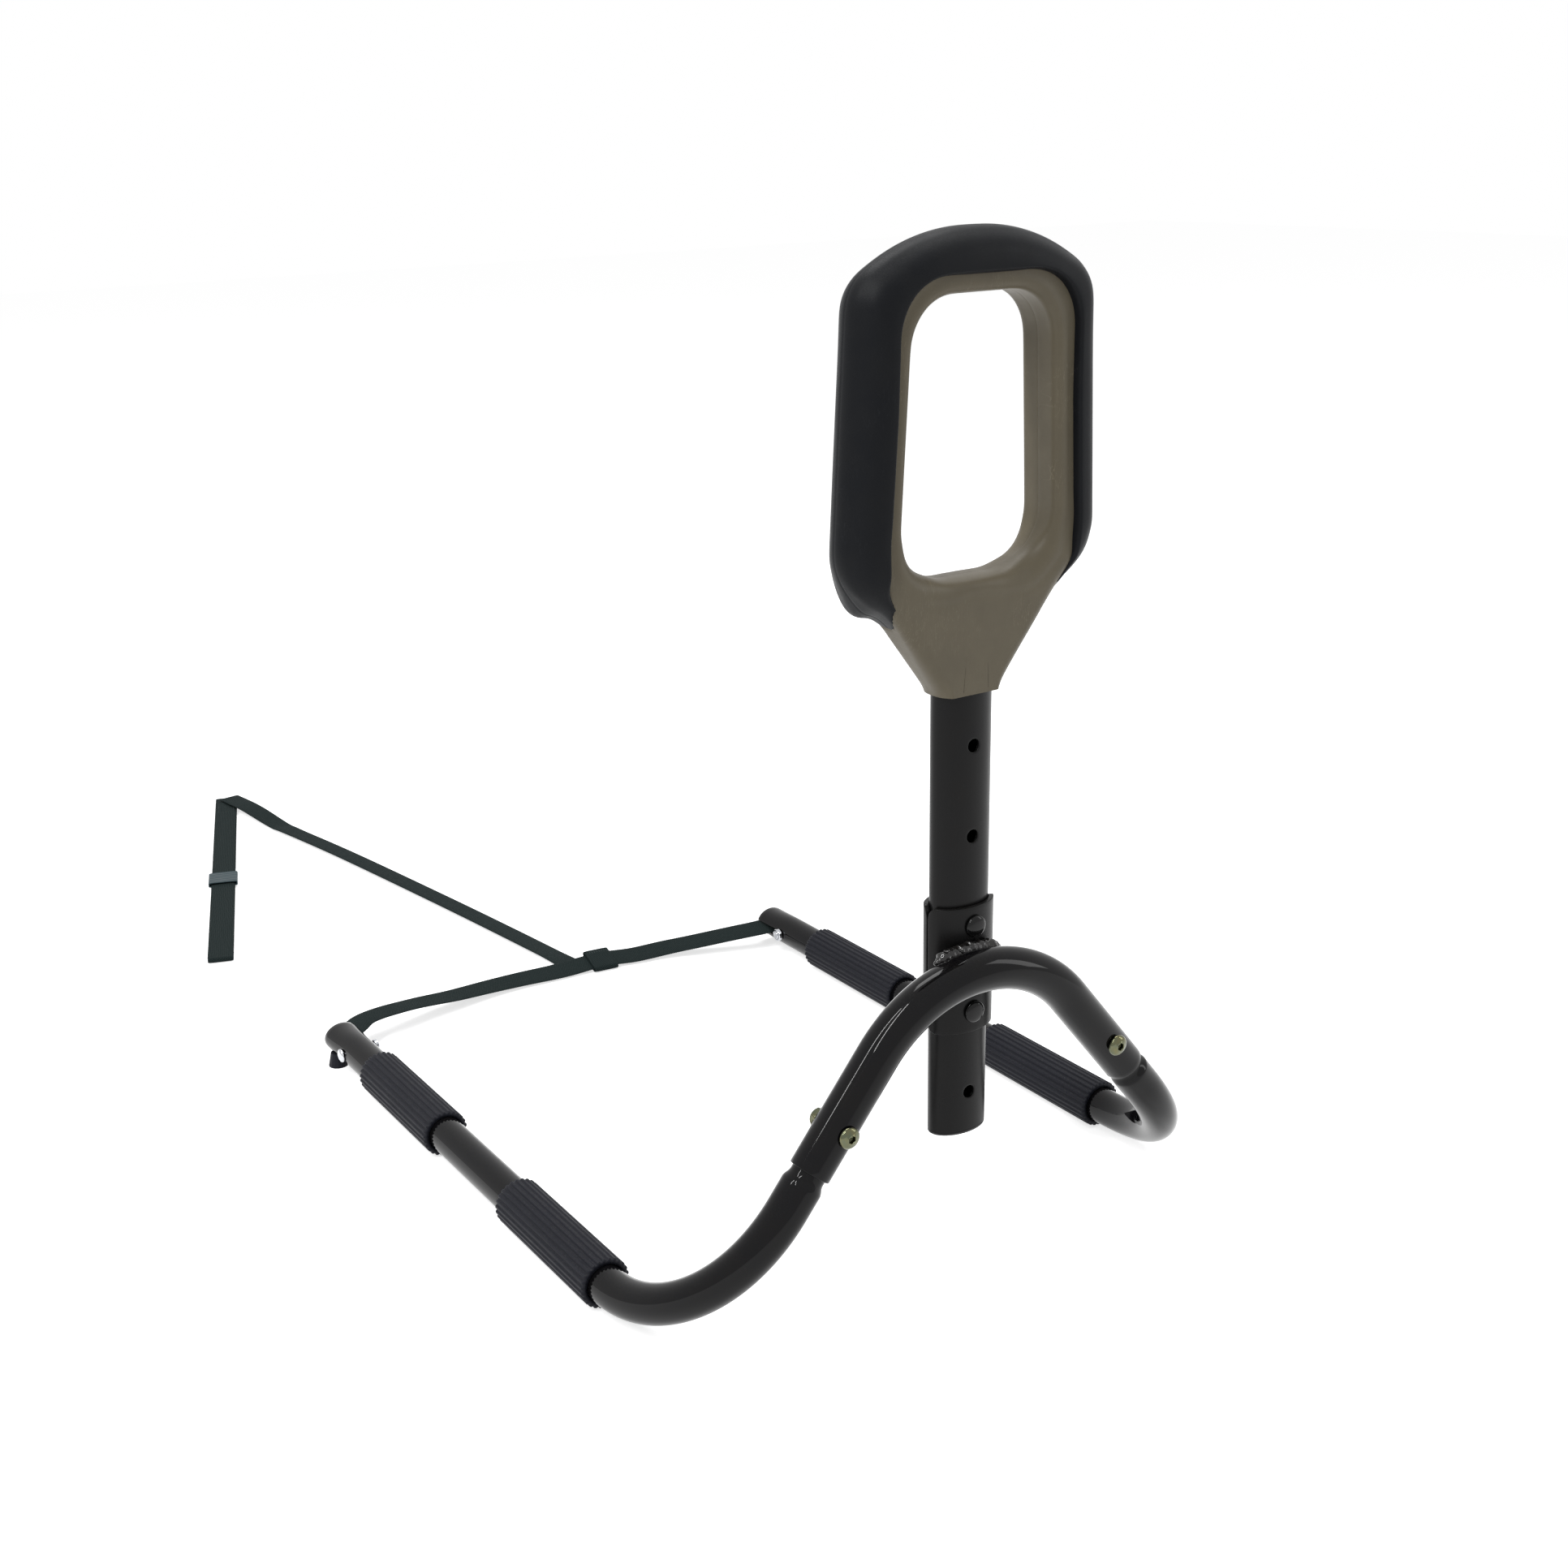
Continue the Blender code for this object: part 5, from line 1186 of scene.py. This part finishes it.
def make_strap(name, path, node, tilt):
    """Strap along a path: its flat section turned about the path, so that the edge on its left is higher."""
    spacing = np.linalg.norm(path[1] - path[0])
    section = strap_section(np.arange(len(path)) * spacing)
    along = tangents(path)
    flat_side = unit(np.cross(along, [0, 0, 1.0]))
    flat_up = unit(np.cross(flat_side, along))
    tilt = np.broadcast_to(tilt, len(path))[:, None]
    side = np.cos(tilt) * flat_side - np.sin(tilt) * flat_up
    up = np.cos(tilt) * flat_up + np.sin(tilt) * flat_side
    points = path[:, None] + section[..., :1] * side[:, None] + section[..., 1:] * up[:, None]
    parts = [grid(points, False, True)]
    for end in (0, -1):
        parts.append(grid(np.stack([points[end], np.broadcast_to(path[end], points[end].shape)]), False, True))
    return piece(name, parts, WEBBING, "frame", [node])


STRAP_Y = LEG_END_Y - SLOT_LENGTH / 2 + 0.006
TEE = np.array([*TEE_PLACE, 0])
START = np.array([*TETHER_START, 0])
CORNER = np.array([*TETHER_END, 0])
TAIL = np.array([*TAIL_END, 0])


def cross_route():
    """Middle of the strap between the leg ends: out of each slot, down to the floor and through the collar."""
    end = LEG_X - 0.004
    left = [(-end, STRAP_Y + 0.0035, 0.0174), (-0.1735, 0.4628, 0.0176), (-0.1650, 0.4702, 0.0178),
            (-0.1530, 0.4748, 0.0176), (-0.1353, 0.4770, 0.0172), (-0.1129, 0.4830, 0.0138),
            (-0.0835, 0.4890, 0.0092), (-0.0535, 0.4945, 0.0060), (-0.0251, 0.4958, 0.0045),
            (0.0100, 0.4932, 0.0040)]
    tee = (TEE[0], TEE[1], IN_COLLAR + COLLAR_L / 2 * math.sin(CROSS_TILT))
    right = [(0.0700, 0.4855, 0.0045), (0.0966, 0.4795, 0.0062), (0.1202, 0.4688, 0.0098),
             (0.1450, 0.4580, 0.0135), (0.1660, STRAP_Y - 0.0030, 0.0155), (end, STRAP_Y - 0.0035, 0.0155)]
    return [np.array(p) for p in left + [tee] + right]


def level(point, height):
    """A point of the floor plan at a height."""
    return np.array([point[0], point[1], height])


def tether_route():
    """Middle of the strap to the bed: straight from the collar to the far corner, bowed 3 mm to its side,
    with its height raised by half the width times the sine of its tilt, and then over the doubled end."""
    way = unit(CORNER - START)
    side = np.array([way[1], -way[0], 0])
    over = 2 * STRAP_T + LOOP_SLIT + 2 * GAP
    points = [START, START + way * 0.04 + side * 0.0008, START + (CORNER - START) * 0.30 + side * 0.0030,
              START + (CORNER - START) * 0.60 + side * 0.0030, CORNER - way * 0.130, CORNER - way * 0.105,
              CORNER - way * 0.050, CORNER - way * 0.006]
    lift = STRAP_W / 2 * math.sin(TETHER_TILT)
    heights = [ON_FLOOR + 0.2 * lift] + [ON_FLOOR + lift] * 4 + [ON_FLOOR + 0.6 * lift] + [ON_FLOOR + over] * 2
    return [level(p, h) for p, h in zip(points, heights)]


def flat_loop(name, node, middle, way, length, inside, tilt=0.0):
    """Closed loop of webbing that lies flat along a level direction, with a slit inside; a tilt raises the
    end that the direction points to."""
    radius = inside / 2 + STRAP_T / 2
    straight = length / 2 - STRAP_T / 2 - radius
    bend = np.linspace(-math.pi / 2, math.pi / 2, 9)
    count = int(2 * straight / 0.0005)
    x = np.concatenate([np.linspace(-straight, straight, count), straight + radius * np.cos(bend[1:-1]),
                        np.linspace(straight, -straight, count), -straight - radius * np.cos(bend[1:-1])])
    z = np.concatenate([np.full(count, -radius), radius * np.sin(bend[1:-1]), np.full(count, radius),
                        -radius * np.sin(bend[1:-1])])
    ahead = unit(np.stack([np.roll(x, -1) - np.roll(x, 1), np.roll(z, -1) - np.roll(z, 1)], -1))
    run = np.concatenate([[0], np.cumsum(np.hypot(np.diff(x), np.diff(z)))])
    section = strap_section(run)
    lift = radius + STRAP_T / 2 + GAP + length / 2 * math.sin(tilt)
    way = np.array([way[0], way[1], 0])
    side = np.array([way[1], -way[0], 0])
    along = x[:, None] - section[..., 1] * ahead[:, 1:]
    height = z[:, None] + section[..., 1] * ahead[:, :1]
    rising = way * math.cos(tilt) + (0, 0, math.sin(tilt))
    upright = np.array([0, 0, math.cos(tilt)]) - way * math.sin(tilt)
    points = (level(middle, lift) + along[..., None] * rising + section[..., :1] * side
              + height[..., None] * upright)
    line = level(middle, lift) + np.array([-1, 1])[:, None] * length / 2 * way
    return piece(name, [grid(points, True, True)], WEBBING, "frame", [node]), line


def stitches(places, way, up, length):
    """Parts for rows of thread: each stitch is half sunk, a round spindle whose radius is
    THREAD_R * sqrt(1 - s^2)."""
    s = np.sin(np.linspace(-math.pi / 2, math.pi / 2, 7))
    ring = circle(8)
    across = np.cross(up, way)
    local = (s[:, None, None] * length / 2 * way + THREAD_R * np.sqrt(np.clip(1 - s ** 2, 0, 1))[:, None, None]
             * (ring[None, :, :1] * across + ring[None, :, 1:] * up))
    return [grid(np.asarray(place) + local, False, True) for place in places]


def make_slide():
    """Slide on the doubled end: a flat ring whose section is a squared-off oval, with rounded rims and
    three low ribs over it, built on the size and place of its CAD node."""
    corners = np.array([v.co[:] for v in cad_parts["slide_buckle"].data.vertices]) - (0, SHIFT_Y, 0)
    way = unit(TAIL - CORNER)
    side = np.array([way[1], -way[0], 0])
    spans = np.stack([corners @ way, corners @ side, corners[:, 2]])
    low, high = spans.min(1), spans.max(1)
    centre = (low + high) / 2
    middle = way * centre[0] + side * centre[1] + (0, 0, centre[2])
    half_l, half_w, half_h = (high - low) / 2 + (BUCKLE_OVER, 0, 0)
    turn = np.linspace(0, math.pi, 7)
    flat = np.linspace(-1, 1, 41)
    rim_in, rim_out = np.cos(turn[1:-1]), 0.03 * np.sin(turn[1:-1])
    share = np.concatenate([np.zeros(41), (1 - rim_in) / 2, np.ones(2), (1 + rim_in) / 2])
    along = np.concatenate([flat, 1 + rim_out, [1, -1], -1 - rim_out]) * half_l
    ribs = 0.00022 * np.concatenate([np.cos(flat * 3 * math.pi) ** 2, np.zeros(len(share) - 41)])
    angle = np.arange(96) * 2 * math.pi / 96
    wide = np.sign(np.cos(angle)) * abs(np.cos(angle)) ** 0.22
    tall = np.sign(np.sin(angle)) * abs(np.sin(angle)) ** 0.30
    inset = share[:, None] * BUCKLE_WALL
    top = np.clip(np.sin(angle), 0, 1) ** 0.3
    points = (middle + along[:, None, None] * way + (wide * (half_w - inset))[..., None] * side
              + (tall * (half_h - inset) + top * ribs[:, None])[..., None] * np.array([0, 0, 1.0]))
    return piece("strap_slide", [grid(points, True, True)], BUCKLE, "buckle", ["slide_buckle"], 60)


def make_straps():
    """The webbing in its four pieces, its slide and its stitches."""
    cross_path, cross_length = smooth_path(cross_route(), 0.0005)
    cross = make_strap("strap_across", cross_path, "cross_strap",
                       CROSS_TILT * smoothstep(cross_path[:, 0], -0.15, 0.03))
    tether_path, tether_length = smooth_path(tether_route(), 0.0005)
    from_start, from_corner = (np.linalg.norm(tether_path[:, :2] - spot[:2], axis=1)
                               for spot in (START, CORNER))
    rolled = (0.2 + 0.8 * smoothstep(from_start, 0.0, 0.04)) * smoothstep(from_corner, 0.055, 0.150)
    tether = make_strap("strap_to_bed", tether_path, "tether_strap", TETHER_TILT * rolled)
    ahead = tangents(cross_path)[np.argmin(abs(cross_path[:, 0] - TEE[0]))]
    way = unit(np.array([-ahead[1], ahead[0], 0]))
    collar, _ = flat_loop("strap_collar_loop", "strap_collar", TEE, way, COLLAR_L, STRAP_T + 2 * GAP,
                          CROSS_TILT)
    back = unit(TAIL - CORNER)
    tail_length = float(np.linalg.norm(TAIL - CORNER)) + 2 * TAIL_LEAD - TAIL_CUT
    tail, tail_line = flat_loop("strap_doubled_end", "strap_end_loop", (TAIL + CORNER) / 2 + back * TAIL_SHIFT,
                                back, tail_length, LOOP_SLIT)
    shift = np.array([0, SHIFT_Y, 0])
    np.linspace(*tail_line, 40) + shift
    make_slide()
    rising = way * math.cos(CROSS_TILT) + (0, 0, math.sin(CROSS_TILT))
    upright = np.array([0, 0, math.cos(CROSS_TILT)]) - way * math.sin(CROSS_TILT)
    centre = TEE + (0, 0, STRAP_T + 1.5 * GAP + STRAP_T / 2 + COLLAR_L / 2 * math.sin(CROSS_TILT))
    across = np.array([way[1], -way[0], 0])
    rows = [centre + upright * (1.5 * STRAP_T + GAP - 0.0001) + rising * 0.0085 + across * x
            for x in np.linspace(-0.0080, 0.0080, 9)]
    piece("collar_thread", stitches(rows, rising, upright, 0.0036), THREAD, "frame", ())
    back_side = np.array([back[1], -back[0], 0])
    top = 2 * STRAP_T + LOOP_SLIT + GAP - 0.0001
    up = np.array([0, 0, 1.0])
    rows = [level(CORNER + back * (0.020 + 0.0030 * i) + back_side * x, top)
            for x in (-0.0070, 0.0070) for i in range(9)]
    rows_across = [level(CORNER + back * y + back_side * x, top)
                   for y in (0.018, 0.047) for x in np.linspace(-0.0055, 0.0055, 5)]
    thread = stitches(rows, back, up, 0.0024) + stitches(rows_across, back_side, up, 0.0022)
    piece("doubled_end_thread", thread, THREAD, "frame", ())


make_straps()


# the carried-over nodes keep their shape and get a finish
def dress(node, look):
    """Gives a carried-over node its finish."""
    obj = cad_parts[node]
    obj.data.materials.clear()
    obj.data.materials.append(look)


for side_name in SIDES:
    dress(f"foot_{side_name}", RUBBER)


# stage
FLOOR_GLOW = 0.66
ROOM_LIGHT = 0.38
SEEN_LIGHT = 1.0
LAMPS = (("key_near", (-1.35, -0.75, 2.2), (0, 0, 0.2), (0.09, 1.6), 21),
         ("key_far", (-1.65, 0.05, 2.2), (0, 0, 0.2), (0.09, 1.6), 21),
         ("top", (0.5, 0.9, 2.6), (0, 0.1, 0.2), (1.6, 0.8), 26),
         ("fill", (1.9, -1.5, 1.2), (0, 0, 0.3), (0.5, 1.6), 9))


def seen_rays(tree):
    """1 for rays from the camera, from a gloss or through glass: three Light Path values added, at most 1."""
    path = put(tree, "ShaderNodeLightPath").outputs
    total = path["Is Camera Ray"]
    for key in ("Is Glossy Ray", "Is Transmission Ray"):
        total = calc(tree, "ADD", total, path[key], clamp=True)
    return total


def floor_material():
    """White floor that takes soft shadows; seen directly it is lifted by a little light of its own."""
    mat = new_material("floor_white", (0.86, 0.86, 0.86), 0.9, Specular_IOR_Level=0.0)
    tree = mat.node_tree
    lift = calc(tree, "MULTIPLY", seen_rays(tree), FLOOR_GLOW)
    glow = put(tree, "ShaderNodeEmission", [("Color", (1, 1, 1, 1)), ("Strength", lift)])
    white = tree.nodes["Principled BSDF"]
    both = put(tree, "ShaderNodeAddShader", [(0, white.outputs[0]), (1, glow.outputs[0])])
    tree.links.new(both.outputs[0], tree.nodes["Material Output"].inputs["Surface"])
    return mat


def add_stage():
    """Level floor at z = 0, 16 m square."""
    mesh = bpy.data.meshes.new("floor")
    mesh.from_pydata([(-8, -8, 0), (8, -8, 0), (8, 8, 0), (-8, 8, 0)], [], [(0, 1, 2, 3)])
    floor = bpy.data.objects.new("floor", mesh)
    bpy.context.scene.collection.objects.link(floor)
    mesh.materials.append(floor_material())


def area_light(name, place, target, size, power):
    """Lamp of a width and a height in metres, turned to its target, with its power in watts."""
    data = bpy.data.lights.new(name, "AREA")
    data.shape = "RECTANGLE"
    data.size, data.size_y = size
    data.energy = power
    lamp = bpy.data.objects.new(name, data)
    bpy.context.scene.collection.objects.link(lamp)
    lamp.location = place
    lamp.rotation_mode = "QUATERNION"
    lamp.rotation_quaternion = (Vector(target) - Vector(place)).to_track_quat("-Z", "Y")


def add_world():
    """Plain white surroundings: weak on the object, and full white where they are seen."""
    world = bpy.data.worlds.new("studio")
    bpy.context.scene.world = world
    world.use_nodes = True
    tree = world.node_tree
    background = tree.nodes["Background"]
    background.inputs["Color"].default_value = (1, 1, 1, 1)
    strength = ramp(tree, seen_rays(tree), 0.0, 1.0, ROOM_LIGHT, SEEN_LIGHT)
    tree.links.new(strength, background.inputs["Strength"])


add_stage()
add_world()
for lamp in LAMPS:
    area_light(*lamp)
bpy.context.scene.view_settings.view_transform = "Standard"
